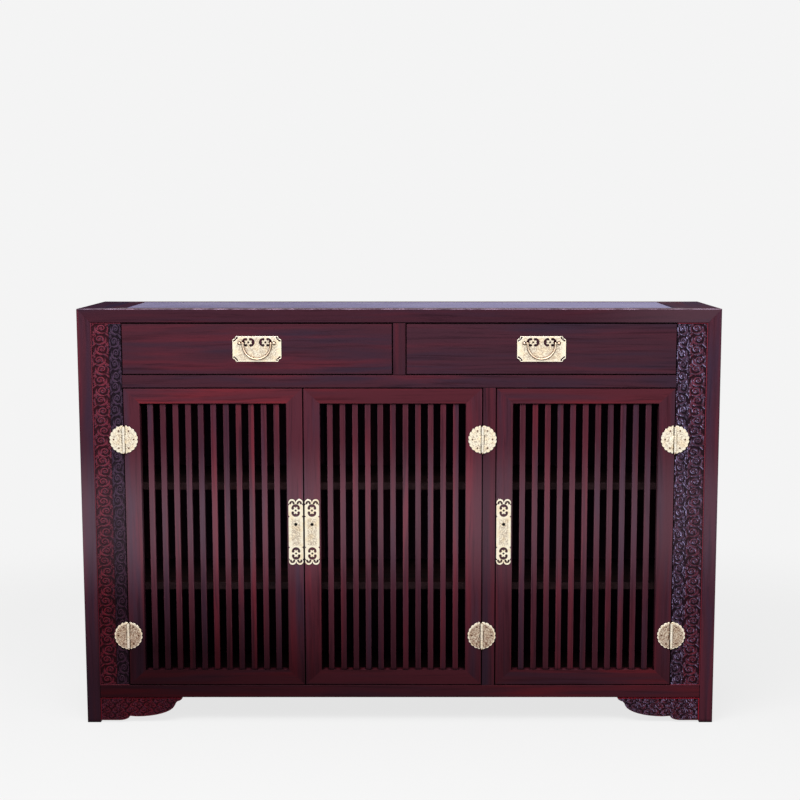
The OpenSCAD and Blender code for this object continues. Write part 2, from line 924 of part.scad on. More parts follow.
module hinge_leaves_fixed() {
    color(brass) placed()
        for (h = [[left_pin_x, -1], [middle_pin_x, 1], [right_pin_x, 1]])
            at_hinges(h[0], h[1]) leaf_with_nails(false);
}

// Pin with a flat head above the knuckles and a ball below them
module hinge_pins() {
    half = knuckle_l / 2 + pin_lift;
    color(brass) placed()
        for (x = [left_pin_x, middle_pin_x, right_pin_x])
            at_hinges(x, 1)
                translate([0, pivot_y, 0]) {
                    translate([0, 0, -half - pin_end_r])
                        cylinder(h = 2 * half + pin_end_r + pin_head_t / 2, r = pin_r);
                    translate([0, 0, half]) cylinder(h = pin_head_t, r = pin_end_r);
                    translate([0, 0, -half - pin_end_r]) sphere(pin_end_r);
                }
}

// Tenon of a door rail across the mitre into the stile at its left
module door_tenon(x, grow) {
    y0 = front + (door_t - tenon_t) / 2;
    low = door_tenon_low * door_rail_h;
    high = door_tenon_high * door_rail_h;
    for (z = [[door_z0 + low, door_z0 + high], [door_z1 - high, door_z1 - low]])
        grown([x + door_tenon_start * door_frame_w, y0, z[0]], [x + door_frame_w, y0 + tenon_t, z[1]], grow);
}

module door_tenons(xs, grow) {
    door_tenon(xs[0], grow);
    translate([xs[0] + xs[1], 0, 0]) mirror([1, 0, 0]) door_tenon(xs[0], grow);
}

// The lock edge is at xs[1] when lock is +1 and at xs[0] when it is -1
lock_in = lock_plate_in + lock_plate_w / 2;
function lock_x(xs, lock) = lock > 0 ? xs[1] - lock_in : xs[0] + lock_in;

module key_hole(xs, lock) {
    translate([lock_x(xs, lock), front - 2 * brass_t, lock_z + key_up]) rotate([-90, 0, 0])
        cylinder(h = door_t + lock_case_t, r = key_r);
}

module door_stiles(xs, lock) {
    w = door_frame_w;
    h = door_rail_h;
    x0 = xs[0];
    x1 = xs[1];
    color(rosewood) placed() difference() {
        prism_y(front, front + door_t) {
            polygon([[x0, door_z0], [x0, door_z1], [x0 + w, door_z1 - h], [x0 + w, door_z0 + h]]);
            polygon([[x1, door_z0], [x1, door_z1], [x1 - w, door_z1 - h], [x1 - w, door_z0 + h]]);
        }
        door_tenons(xs, fit_gap);
        hinge_nail_holes();
        key_hole(xs, lock);
    }
}

module slat_shapes(xs, grow) {
    x0 = xs[0] + door_frame_w;
    pitch = (xs[1] - xs[0] - 2 * door_frame_w - slat_n * slat_w) / (slat_n + 1) + slat_w;
    for (i = [0:slat_n - 1]) {
        x = x0 + (i + 1) * pitch - slat_w;
        grown([x, front + slat_set, door_z0 + door_rail_h - slat_stub],
            [x + slat_w, front + slat_set + slat_t, door_z1 - door_rail_h + slat_stub], grow);
    }
}

module door_rails(xs) {
    w = door_frame_w;
    h = door_rail_h;
    x0 = xs[0];
    x1 = xs[1];
    color(rosewood) placed() difference() {
        union() {
            prism_y(front, front + door_t) {
                polygon([[x0, door_z0], [x1, door_z0], [x1 - w, door_z0 + h], [x0 + w, door_z0 + h]]);
                polygon([[x0, door_z1], [x1, door_z1], [x1 - w, door_z1 - h], [x0 + w, door_z1 - h]]);
            }
            door_tenons(xs, 0);
        }
        slat_shapes(xs, fit_gap);
    }
}

module door_slats(xs) {
    color(rosewood) placed() slat_shapes(xs, 0);
}

// Two thick crescents that face each other across a dot, each with a point inside and round curled ends
module cloud_piercing() {
    for (s = [-1, 1])
        translate([0, s * cloud_apart]) {
            difference() {
                circle(cloud_r);
                for (k = [-1, 1])
                    translate([k * 0.27 * cloud_r, s * 0.12 * cloud_r]) circle(0.31 * cloud_r);
                translate([-2 * cloud_r, s > 0 ? -2 * cloud_r : 0]) square([4 * cloud_r, 2 * cloud_r]);
            }
            for (k = [-1, 1])
                translate([k * (cloud_r - cloud_end_r), 0]) circle(cloud_end_r);
        }
    circle(0.18 * cloud_r);
}

// Each end of a lock plate curls into two scrolls, and small nicks part it into three fields
module lock_plate_outline() {
    edge = lock_plate_w / 2;
    tip = lock_plate_h / 2;
    base = tip - 1.5 * scroll_r;
    field = field_share * tip;
    scroll_x = edge - scroll_r;
    neck_w = 6;
    difference() {
        union() {
            translate([-edge, -base]) square([lock_plate_w, 2 * base]);
            for (s = [-1, 1])
                for (k = [-1, 1])
                    translate([k * scroll_x, s * (tip - scroll_r)]) circle(scroll_r);
            translate([-neck_w / 2, scroll_r - tip]) square([neck_w, 2 * (tip - scroll_r)]);
        }
        for (s = [-1, 1]) {
            for (k = [-1, 1]) {
                translate([k * edge, s * base]) circle(nick_r);
                translate([k * edge, s * field]) circle(nick_r);
                translate([k * scroll_x, s * (tip - scroll_r)]) mirror([0, s < 0 ? 1 : 0]) scroll_slit();
            }
            translate([0, s * (base + field) / 2]) cloud_piercing();
        }
        translate([0, key_up]) circle(key_r);
    }
}

// Arched slit inside a scroll, with round ends
module scroll_slit() {
    mid_r = 0.46 * scroll_r;
    translate([0, -0.2 * scroll_r]) {
        difference() {
            circle(mid_r + slit_w / 2);
            circle(mid_r - slit_w / 2);
            translate([-scroll_r, -2 * scroll_r]) square(2 * scroll_r);
        }
        for (k = [-1, 1])
            translate([k * mid_r, 0]) circle(0.6 * slit_w);
    }
}

module door_lock_plate(xs, lock) {
    color(brass) placed() translate([lock_x(xs, lock), 0, lock_z]) on_face(brass_t) lock_plate_outline();
}

module door_hinge_leaves(pin_x, side) {
    color(brass) placed() at_hinges(pin_x, side) leaf_with_nails(true);
}

// Lock case behind the key hole, and the strike for the catch
module door_fittings(xs, lock, catch_x) {
    x = lock_x(xs, lock);
    y0 = front + door_t;
    z = lock_z + key_up;
    case_half = [lock_case_w / 2, 0, lock_case_h / 2];
    color(steel) placed() {
        difference() {
            block([x, y0, z] - case_half, [x, y0 + lock_case_t, z] + case_half);
            translate([x, y0 - overlap, z]) rotate([-90, 0, 0])
                cylinder(h = lock_case_t - overlap, r = key_r);
        }
        block([catch_x - catch_w / 2, y0, door_z1 - catch_h],
            [catch_x + catch_w / 2, y0 + strike_t, door_z1 - strike_t]);
    }
}

// Dovetails of the side at the left of a drawer centred on x = 0
module side_tails(grow) {
    y1 = front + drawer_front_t;
    y0 = y1 - tail_l;
    x0 = -drawer_w / 2;
    for (i = [0:tail_n - 1]) {
        z = side_z0 + (i + 0.5) * tail_pitch;
        a = tail_w / 2 + grow;
        b = a + tail_flare;
        prism_x(x0 - grow, x0 + drawer_side_t + grow)
            polygon([[y1 + overlap, z - a], [y1, z - a], [y0 - grow, z - b], [y0 - grow, z + b], [y1, z + a],
                [y1 + overlap, z + a]]);
    }
}

module drawer_bottom_shape(grow) {
    x1 = drawer_w / 2 - drawer_side_t;
    z0 = side_z0 + bottom_lift;
    grown([-x1 - drawer_groove, front + drawer_front_t - drawer_groove, z0],
        [x1 + drawer_groove, front + drawer_d - drawer_side_t + drawer_groove, z0 + drawer_bottom_t], grow);
}

module drawer_front(sx) {
    color(rosewood) placed() translate([sx * drawer_x, 0, 0]) difference() {
        block([-drawer_w / 2, front, drawer_z0], [drawer_w / 2, front + drawer_front_t, drawer_z1]);
        both_sides() side_tails(fit_gap);
        drawer_bottom_shape(fit_gap);
        both_sides() post_shank_hole();
    }
}

module drawer_back_shape(grow) {
    x1 = drawer_w / 2 - drawer_side_t + dado_d;
    y1 = front + drawer_d - dado_d;
    grown([-x1, y1 - drawer_side_t, side_z0], [x1, y1, side_z1], grow);
}

module drawer_box(sx) {
    color(inner_wood) placed() translate([sx * drawer_x, 0, 0]) difference() {
        union() {
            both_sides() difference() {
                union() {
                    block([-drawer_w / 2, front + drawer_front_t, side_z0],
                        [-drawer_w / 2 + drawer_side_t, front + drawer_d, side_z1]);
                    side_tails(0);
                }
                drawer_back_shape(fit_gap);
            }
            drawer_back_shape(0);
        }
        drawer_bottom_shape(fit_gap);
    }
}

module drawer_bottom(sx) {
    color(inner_wood) placed() translate([sx * drawer_x, 0, 0]) drawer_bottom_shape(0);
}

module post_shank_hole() {
    translate([-post_off, front - brass_t - overlap, pull_z + pivot_up]) rotate([-90, 0, 0])
        cylinder(h = drawer_front_t + brass_t + 2 * overlap, r = shank_r + fit_gap);
}

// Slit behind a clipped corner that points along +Y, open to the corner, with round ends turned outward
module corner_slit() {
    half = 0.53 * pull_clip;
    square([2 * half, slit_w], center = true);
    translate([-slit_w / 4, 0]) square([slit_w / 2, pull_clip]);
    for (k = [-1, 1])
        translate([k * half, 0.3 * slit_w]) circle(0.75 * slit_w);
}

module pull_plate_outline() {
    w = pull_plate_w / 2;
    h = pull_plate_h / 2;
    c = pull_clip;
    curl_r = 3;
    slit_in = 0.8 * c;
    difference() {
        union() {
            polygon([[-w, -h + c], [-w + c, -h], [w - c, -h], [w, -h + c], [w, h - c], [w - c, h],
                [-w + c, h], [-w, h - c]]);
            for (sx = [-1, 1])
                for (sz = [-1, 1]) {
                    translate([sx * (w - curl_r), sz * (h - c)]) circle(curl_r);
                    translate([sx * (w - c), sz * (h - curl_r)]) circle(curl_r);
                }
        }
        for (sx = [-1, 1])
            for (sz = [-1, 1])
                translate([sx * (w - slit_in), sz * (h - slit_in)])
                    rotate(atan2(sz, sx) - 90) corner_slit();
        for (k = [-1, 1])
            translate([k * pull_cloud_x, pull_cloud_up]) rotate(90) cloud_piercing();
    }
}

// Half section of a bail post: domed head, shank through the drawer front, and nut behind it
module bail_post_profile() {
    nut_t = 3;
    head_y = brass_t + glue_line;
    translate([0, -drawer_front_t - nut_t]) square([shank_r, drawer_front_t + nut_t + head_y + overlap]);
    translate([0, -drawer_front_t - nut_t]) square([2 * shank_r, nut_t]);
    translate([0, head_y]) square([bail_post_r, pivot_out - head_y]);
    intersection() {
        translate([0, pivot_out]) circle(bail_post_r);
        translate([0, pivot_out - overlap]) square([bail_post_r, bail_post_r + overlap]);
    }
}

// Plate with the two posts that carry the bail
module drawer_pull_plate(sx) {
    z = pull_z + pivot_up;
    color(brass) placed() translate([sx * drawer_x, 0, 0]) {
        difference() {
            translate([0, 0, pull_z]) on_face(brass_t) pull_plate_outline();
            both_sides() post_shank_hole();
        }
        both_sides() translate([-post_off, front, z]) difference() {
            rotate([90, 0, 0]) rotate_extrude() bail_post_profile();
            translate([-bail_post_r - overlap, -pivot_out, 0]) rotate([0, 90, 0])
                cylinder(h = 2 * bail_post_r + 2 * overlap, r = bail_pin_r + bail_pin_gap);
        }
    }
}

module bail(sx) {
    pin_tip = 0.6;
    elbow_r = 1.1 * rod_r;
    color(brass) placed()
        translate([sx * drawer_x, front - pivot_out, pull_z + pivot_up]) {
            translate([0, 0, -bail_leg]) rotate([90, 0, 0]) rotate([0, 0, 180])
                rotate_extrude(angle = 180) translate([bail_r, 0]) circle(rod_r);
            both_sides() translate([-bail_r, 0, 0]) {
                translate([0, 0, -bail_leg]) cylinder(h = bail_leg, r = rod_r);
                sphere(elbow_r);
                translate([-(post_off - bail_r) - bail_post_r - pin_tip, 0, 0]) rotate([0, 90, 0])
                    cylinder(h = post_off - bail_r + bail_post_r + pin_tip, r = bail_pin_r);
            }
        }
}

post_front(-1);  // post_front_left
post_front(1);  // post_front_right
post_back(-1);  // post_back_left
post_back(1);  // post_back_right
top_rail_front();
top_rail_back();
top_end(-1);  // top_end_left
top_end(1);  // top_end_right
top_slab();
top_battens();
carved_stile(-1);  // carved_stile_left
carved_stile(1);  // carved_stile_right
mid_rail();
drawer_stile();
door_stile();
bottom_rail_front();
bottom_rails_side();
back_frame();
back_panels();
side_panel(-1);  // side_panel_left
side_panel(1);  // side_panel_right
bracket(-1);  // bracket_left
bracket(1);  // bracket_right
bottom_board();
partition();
dust_boards();
drawer_runners();
shelves();
shelf_cleats();
door_catches();
hinge_leaves_fixed();
hinge_pins();
door_stiles(left_door_x, 1);  // door_left_stiles
door_rails(left_door_x);  // door_left_rails
door_slats(left_door_x);  // door_left_slats
door_lock_plate(left_door_x, 1);  // door_left_lock_plate
door_hinge_leaves(left_pin_x, 1);  // door_left_hinge_leaves
door_fittings(left_door_x, 1, catch_xs[0]);  // door_left_fittings
door_stiles(middle_door_x, -1);  // door_middle_stiles
door_rails(middle_door_x);  // door_middle_rails
door_slats(middle_door_x);  // door_middle_slats
door_lock_plate(middle_door_x, -1);  // door_middle_lock_plate
door_hinge_leaves(middle_pin_x, -1);  // door_middle_hinge_leaves
door_fittings(middle_door_x, -1, catch_xs[1]);  // door_middle_fittings
door_stiles(right_door_x, -1);  // door_right_stiles
door_rails(right_door_x);  // door_right_rails
door_slats(right_door_x);  // door_right_slats
door_lock_plate(right_door_x, -1);  // door_right_lock_plate
door_hinge_leaves(right_pin_x, -1);  // door_right_hinge_leaves
door_fittings(right_door_x, -1, catch_xs[2]);  // door_right_fittings
drawer_front(-1);  // drawer_left_front
drawer_box(-1);  // drawer_left_box
drawer_bottom(-1);  // drawer_left_bottom
drawer_pull_plate(-1);  // drawer_left_pull_plate
bail(-1);  // bail_left
drawer_front(1);  // drawer_right_front
drawer_box(1);  // drawer_right_box
drawer_bottom(1);  // drawer_right_bottom
drawer_pull_plate(1);  // drawer_right_pull_plate
bail(1);  // bail_right
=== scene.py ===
import json
import math
import random

import bmesh
import bpy
import numpy as np
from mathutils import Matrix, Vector

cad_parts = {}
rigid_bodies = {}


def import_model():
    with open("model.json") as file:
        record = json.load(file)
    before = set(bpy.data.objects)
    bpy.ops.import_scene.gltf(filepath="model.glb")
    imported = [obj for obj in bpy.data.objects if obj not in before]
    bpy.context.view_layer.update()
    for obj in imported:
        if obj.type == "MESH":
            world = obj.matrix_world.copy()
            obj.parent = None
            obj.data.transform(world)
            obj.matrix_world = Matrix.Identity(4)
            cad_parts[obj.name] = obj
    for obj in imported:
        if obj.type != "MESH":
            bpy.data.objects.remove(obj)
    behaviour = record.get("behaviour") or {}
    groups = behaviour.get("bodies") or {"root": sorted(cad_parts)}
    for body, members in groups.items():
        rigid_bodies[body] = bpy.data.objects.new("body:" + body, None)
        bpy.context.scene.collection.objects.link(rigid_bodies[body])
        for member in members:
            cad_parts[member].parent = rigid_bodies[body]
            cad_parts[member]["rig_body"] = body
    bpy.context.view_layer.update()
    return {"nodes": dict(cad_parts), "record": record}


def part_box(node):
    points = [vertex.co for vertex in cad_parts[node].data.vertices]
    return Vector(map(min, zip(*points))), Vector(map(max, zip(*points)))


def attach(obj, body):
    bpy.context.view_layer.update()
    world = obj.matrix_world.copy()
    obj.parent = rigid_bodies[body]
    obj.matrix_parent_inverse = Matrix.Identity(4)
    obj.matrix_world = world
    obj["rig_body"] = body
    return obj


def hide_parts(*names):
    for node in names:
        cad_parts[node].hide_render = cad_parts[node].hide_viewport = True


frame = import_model()
nodes = frame["nodes"]
mm = 0.001
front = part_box("drawer_left_front")[0].y  # face of the doors, drawers and rails
print("frame loaded:", len(nodes), "nodes")


# shader helpers

def feed(tree, socket, value):
    if isinstance(value, bpy.types.NodeSocket):
        tree.links.new(value, socket)
    else:
        socket.default_value = value


def addNode(tree, kind, **inputs):
    node = tree.nodes.new(kind)
    for name, value in inputs.items():
        feed(tree, node.inputs[name], value)
    return node


def calc(tree, operation, a, b=0.0, clamp=False):
    node = tree.nodes.new("ShaderNodeMath")
    node.operation = operation
    node.use_clamp = clamp
    feed(tree, node.inputs[0], a)
    feed(tree, node.inputs[1], b)
    return node.outputs[0]


def times(tree, *values, clamp=False):
    # the product of two values or more, clamped once all are in
    total = values[0]
    for value in values[1:-1]:
        total = calc(tree, "MULTIPLY", total, value)
    return calc(tree, "MULTIPLY", total, values[-1], clamp)


def plus(tree, a, b, clamp=False):
    return calc(tree, "ADD", a, b, clamp)


def minus(tree, a, b):
    return calc(tree, "SUBTRACT", a, b)


def larger(tree, a, b):
    return calc(tree, "MAXIMUM", a, b)


def vectorCalc(tree, operation, a, b):
    node = tree.nodes.new("ShaderNodeVectorMath")
    node.operation = operation
    feed(tree, node.inputs[0], a)
    feed(tree, node.inputs[1], b)
    return node.outputs[0]


def blendColor(tree, factor, a, b, mode="MIX"):
    node = tree.nodes.new("ShaderNodeMix")
    node.data_type = "RGBA"
    node.blend_type = mode
    feed(tree, node.inputs["Factor"], factor)
    feed(tree, node.inputs["A"], a)
    feed(tree, node.inputs["B"], b)
    return node.outputs["Result"]


def spread(tree, value, low, high, toLow=0.0, toHigh=1.0):
    node = tree.nodes.new("ShaderNodeMapRange")
    node.interpolation_type = "SMOOTHSTEP"
    feed(tree, node.inputs["Value"], value)
    feed(tree, node.inputs["From Min"], low)
    node.inputs["From Max"].default_value = high
    node.inputs["To Min"].default_value = toLow
    node.inputs["To Max"].default_value = toHigh
    return node.outputs["Result"]


def noiseOf(tree, vector, scale, detail=3.0, rough=0.55, twist=0.0):
    node = tree.nodes.new("ShaderNodeTexNoise")
    feed(tree, node.inputs["Vector"], vector)
    node.inputs["Scale"].default_value = scale
    node.inputs["Detail"].default_value = detail
    node.inputs["Roughness"].default_value = rough
    node.inputs["Distortion"].default_value = twist
    return node.outputs["Fac"]


def attributeOf(tree, name):
    node = tree.nodes.new("ShaderNodeAttribute")
    node.attribute_name = name
    return node.outputs["Fac"]


def objectPlace(tree):
    return tree.nodes.new("ShaderNodeTexCoord").outputs["Object"]


def axesOf(tree, vector):
    node = tree.nodes.new("ShaderNodeSeparateXYZ")
    feed(tree, node.inputs[0], vector)
    return node.outputs


def addBump(tree, shader, strength, distance, height):
    bump = addNode(tree, "ShaderNodeBump", Strength=strength, Distance=distance, Height=height)
    feed(tree, shader["Normal"], bump.outputs["Normal"])


def newGroup(name, inputs, outputs):
    # an input is given by its kind alone, or by a number or colour that it starts with
    tree = bpy.data.node_groups.new(name, "ShaderNodeTree")
    kinds = {"v": "NodeSocketVector", "c": "NodeSocketColor", "f": "NodeSocketFloat"}
    for label, start in inputs.items():
        kind = start if isinstance(start, str) else "c" if isinstance(start, tuple) else "f"
        socket = tree.interface.new_socket(name=label, in_out="INPUT", socket_type=kinds[kind])
        if start != kind:
            socket.default_value = start
    for label, kind in outputs.items():
        tree.interface.new_socket(name=label, in_out="OUTPUT", socket_type=kinds[kind])
    return tree, tree.nodes.new("NodeGroupInput").outputs, tree.nodes.new("NodeGroupOutput").inputs


def placeGroup(tree, group, **inputs):
    node = tree.nodes.new("ShaderNodeGroup")
    node.node_tree = group
    for name, value in inputs.items():
        feed(tree, node.inputs[name], value)
    return node.outputs


def newMaterial(name):
    material = bpy.data.materials.new(name)
    material.use_nodes = True
    tree = material.node_tree
    return material, tree, tree.nodes["Principled BSDF"].inputs


def colorOf(red, green, blue):  # from screen values, 0 to 255
    parts = [value / 255 for value in (red, green, blue)]
    return tuple(p / 12.92 if p <= 0.04045 else ((p + 0.055) / 1.055) ** 2.4 for p in parts) + (1.0,)


def paints(look, *names):
    return [colorOf(*look[name]) for name in names]


# shared effects

figureLook = {  # scale, squeeze along the grain, and the noise at which each band starts and is full
    "sway": {"scale": 5.0, "squeeze": 0.2, "by": 0.06},
    "violet": {"scale": 24, "squeeze": 0.07, "offset": 2.3, "starts": 0.44, "full": 0.68},
    "red": {"scale": 30, "squeeze": 0.06, "offset": 7.1, "starts": 0.47, "full": 0.70},
    "streak": {"scale": 150, "squeeze": 0.022, "starts": 0.50, "full": 0.33,
               "rough": (0.35, 0.65, -0.05, 0.06)},
    "hair": {"scale": 900, "squeeze": 0.012, "detail": 2, "share": 0.3, "height": 0.35},
    "pore": {"scale": 1500, "squeeze": 0.03, "detail": 1, "starts": 0.58, "full": 0.7, "dark": 0.35,
             "rough": 0.1},
}


def makeFigureGroup():
    # rosewood, with the grain along Z of the vector that comes in: broad violet and red bands, then streaks
    look = figureLook
    tree, given, out = newGroup("woodFigure", {
        "Vector": "v", "Dark": "c", "Middle": "c", "Violet": "c", "Red": "c", "Streaks": 1.0, "Pores": 1.0,
    }, {"Color": "c", "Roughness": "f", "Height": "f"})
    slow = vectorCalc(tree, "MULTIPLY", given["Vector"], (1.0, 1.0, look["sway"]["squeeze"]))
    sway = addNode(tree, "ShaderNodeTexNoise", Vector=slow, Scale=look["sway"]["scale"])
    shift = vectorCalc(tree, "SUBTRACT", sway.outputs["Color"], (0.5, 0.5, 0.5))
    shift = vectorCalc(tree, "MULTIPLY", shift, (look["sway"]["by"], look["sway"]["by"], 0.0))
    swayed = vectorCalc(tree, "ADD", given["Vector"], shift)

    def bands(name):
        offset = look[name].get("offset", 0.0)
        moved = vectorCalc(tree, "ADD", swayed, (offset, offset * 0.7, offset * 0.4))
        squeezed = vectorCalc(tree, "MULTIPLY", moved, (1.0, 1.0, look[name]["squeeze"]))
        return noiseOf(tree, squeezed, look[name]["scale"], look[name].get("detail", 3))

    def showing(name, value):
        return spread(tree, value, look[name]["starts"], look[name]["full"])

    color = blendColor(tree, showing("violet", bands("violet")), given["Middle"], given["Violet"])
    color = blendColor(tree, showing("red", bands("red")), color, given["Red"])
    streak = bands("streak")
    hair = bands("hair")
    share = look["hair"]["share"]
    line = plus(tree, times(tree, streak, 1 - share), times(tree, hair, share))
    color = blendColor(tree, times(tree, showing("streak", line), given["Streaks"]), color, given["Dark"])
    pore = times(tree, showing("pore", bands("pore")), given["Pores"])
    color = blendColor(tree, times(tree, pore, look["pore"]["dark"]), color, given["Dark"])
    feed(tree, out["Color"], color)
    rough = spread(tree, streak, *look["streak"]["rough"])
    feed(tree, out["Roughness"], plus(tree, rough, times(tree, pore, look["pore"]["rough"])))
    feed(tree, out["Height"], minus(tree, times(tree, hair, look["hair"]["height"]), pore))
    return tree


wearLook = {
    "patchScale": 26, "patch": (0.38, 0.62), "least": 0.25,
    "grime": (0.006, 0.002, 0.003, 1.0), "grimeAmount": 0.85,
}


def makeWearGroup():
    # edge faces marked 1 are lighter in patches, worn and with a painted highlight; edge faces marked -1 get
    # painted shade, as in the gaps between parts
    tree, given, out = newGroup("edgeWear", {
        "Vector": "v", "Color": "c", "Worn": "c", "Amount": 0.5, "Grime": wearLook["grime"],
    }, {"Color": "c"})
    edge = attributeOf(tree, "edgeFace")
    patch = noiseOf(tree, given["Vector"], wearLook["patchScale"], 4, 0.6)
    patch = spread(tree, patch, *wearLook["patch"], wearLook["least"], 1.0)
    mask = times(tree, edge, patch, given["Amount"], clamp=True)
    color = blendColor(tree, mask, given["Color"], given["Worn"])
    dark = times(tree, edge, -wearLook["grimeAmount"], clamp=True)
    feed(tree, out["Color"], blendColor(tree, dark, color, given["Grime"]))
    return tree


creviceLook = {
    "dirt": (0.004, 0.001, 0.002, 1.0), "reach": 0.012, "starts": 0.9, "full": 0.6, "samples": 6,
}


def makeCreviceGroup():
    # painted shade: darker where surfaces crowd each other, as ambient occlusion finds them
    tree, given, out = newGroup(
        "crevice", {"Color": "c", "Dirt": creviceLook["dirt"], "Amount": 1.0}, {"Color": "c"})
    openness = addNode(tree, "ShaderNodeAmbientOcclusion", Distance=creviceLook["reach"])
    openness.samples = creviceLook["samples"]
    mask = spread(tree, openness.outputs["AO"], creviceLook["starts"], creviceLook["full"])
    mask = times(tree, mask, given["Amount"])
    feed(tree, out["Color"], blendColor(tree, mask, given["Color"], given["Dirt"]))
    return tree


heightLook = {  # heights and places in metres
    # the pale colour is a painted sheen; depth multiplies the lower parts as painted shade
    "bloom": (0.72, 0.5, 0.62, 1.0), "bloomFoot": (0.31, 0.51), "bloomHead": (0.74, 0.55), "bloomWest": 0.3,
    "east": (0.4, 0.75), "uneven": 0.10, "unevenScale": 2.2,
    "depth": (0.25, 0.18, 0.21, 1.0), "depthFull": 0.08, "depthShare": 0.9, "depthWest": 0.55,
}


def makeHeightGroup():
    # a painted sheen half way up, most at the left, and a second painted sheen at the right end by its own
    # amount; painted shade deepens the wood's tone from its start height down to the floor, more at the left
    look = heightLook
    tree, given, out = newGroup("bloomAndDepth", {
        "Color": "c", "Bloom": "c", "Depth": "c", "BloomAmount": 0.07, "DepthAmount": 1.0, "DepthStart": 0.44,
        "EastAmount": 0.0,
    }, {"Color": "c"})
    place = objectPlace(tree)
    axes = axesOf(tree, place)
    uneven = minus(tree, noiseOf(tree, place, look["unevenScale"], 3, 0.5), 0.5)
    height = plus(tree, axes["Z"], times(tree, uneven, look["uneven"]))
    rising = spread(tree, height, *look["bloomFoot"])
    falling = spread(tree, height, *look["bloomHead"])
    westward = minus(tree, 1.0, times(tree, axes["X"], look["bloomWest"]))
    bloom = times(tree, rising, falling, given["BloomAmount"], westward)
    eastward = times(tree, spread(tree, axes["X"], *look["east"]), given["EastAmount"])
    bloom = plus(tree, bloom, eastward)
    westward = minus(tree, look["depthShare"], times(tree, axes["X"], look["depthWest"]))
    low = spread(tree, height, given["DepthStart"], look["depthFull"])
    low = times(tree, low, given["DepthAmount"], westward, clamp=True)
    color = blendColor(tree, low, given["Color"], given["Depth"], "MULTIPLY")
    feed(tree, out["Color"], blendColor(tree, bloom, color, given["Bloom"]))
    return tree


engravingLook = {  # in mm from the middle of a hinge or plate: where a field is full, then where it ends
    "lockAcross": (9.0, 13.5), "lockUp": (30.0, 38.0), "pullAcross": (40.0, 60.0), "pullUp": (24.0, 32.0),
    "hinge": (22.0, 31.0), "lowHinge": (30.5, 33.0), "knuckle": (4.2, 3.2), "petals": (30.5, 28.0),
    "petalCount": 10.0, "petalLine": (0.3, 0.05), "petalMost": 0.5,
    "ring": 27.0, "ringLine": (0.9, 0.3), "ringMost": 0.25,
    "scriptScale": 210, "scriptLine": (0.055, 0.015), "dotScale": 400, "dots": (0.50, 0.58), "bare": 0.15,
    "coarseScale": 430, "coarse": (0.40, 0.58, 0.65, 1.65),
    "lowFrom": 0.42, "lowFull": 0.30,  # heights in metres
}


def makeEngravingGroup():
    # engraving on the brass: spotKind 0 is a hinge, 1 a lock plate, 2 a pull plate; spotX and spotZ are in mm
    look = engravingLook
    tree, given, out = newGroup("engraving", {"Vector": "v"}, {"Lines": "f", "Stipple": "f"})
    x = attributeOf(tree, "spotX")
    z = attributeOf(tree, "spotZ")
    kind = attributeOf(tree, "spotKind")

    def away(value, middle=0.0):
        return calc(tree, "ABSOLUTE", minus(tree, value, middle))

    def isKind(number):
        return calc(tree, "LESS_THAN", away(kind, number), 0.5)

    def within(value, name, most=1.0):
        full, end = look[name]
        return spread(tree, value, end, full, 0.0, most)

    radius = calc(tree, "SQRT", plus(tree, times(tree, x, x), times(tree, z, z)))
    turns = times(tree, calc(tree, "ARCTAN2", z, x), look["petalCount"])
    petals = spread(tree, calc(tree, "ABSOLUTE", calc(tree, "SINE", turns)), *look["petalLine"])
    petals = times(tree, petals, within(radius, "petals", look["petalMost"]))
    ring = spread(tree, away(radius, look["ring"]), *look["ringLine"], 0.0, look["ringMost"])
    feed(tree, out["Lines"], times(tree, larger(tree, petals, ring), isKind(0)))
    tall = vectorCalc(tree, "MULTIPLY", given["Vector"], (1.0, 1.0, 0.6))
    flow = noiseOf(tree, tall, look["scriptScale"], 2, 0.6, 1.2)
    script = spread(tree, away(flow, 0.5), *look["scriptLine"])
    lock = times(tree, isKind(1), within(away(x), "lockAcross"), within(away(z), "lockUp"))
    pull = times(tree, isKind(2), within(away(x), "pullAcross"), within(away(z), "pullUp"))
    hinge = times(tree, isKind(0), within(radius, "hinge"))
    # the low hinges get a coarser, denser stipple
    low = spread(tree, axesOf(tree, given["Vector"])["Z"], look["lowFrom"], look["lowFull"])
    field = times(tree, within(radius, "lowHinge"), within(away(x), "knuckle"), low, isKind(0))
    plates = larger(tree, lock, pull)
    dots = spread(tree, noiseOf(tree, given["Vector"], look["dotScale"], 1, 0.5), *look["dots"])
    marks = larger(tree, dots, times(tree, script, plates))
    stipple = times(tree, marks, plus(tree, larger(tree, hinge, plates), look["bare"], True))
    coarse = spread(tree, noiseOf(tree, given["Vector"], look["coarseScale"], 1, 0.5), *look["coarse"])
    feed(tree, out["Stipple"], larger(tree, stipple, times(tree, field, coarse)))
    return tree


castLook = {
    "cloudScale": 70, "cloud": (0.42, 0.66), "cloudRough": (0.35, 0.7, 0.0, 0.1),
    "brushed": (0.06, 1.0, 1.0), "brushScale": 2600, "lineRough": 0.08, "lineHeight": 0.4,
    "dentScale": 420, "dentHeight": 0.6,
}


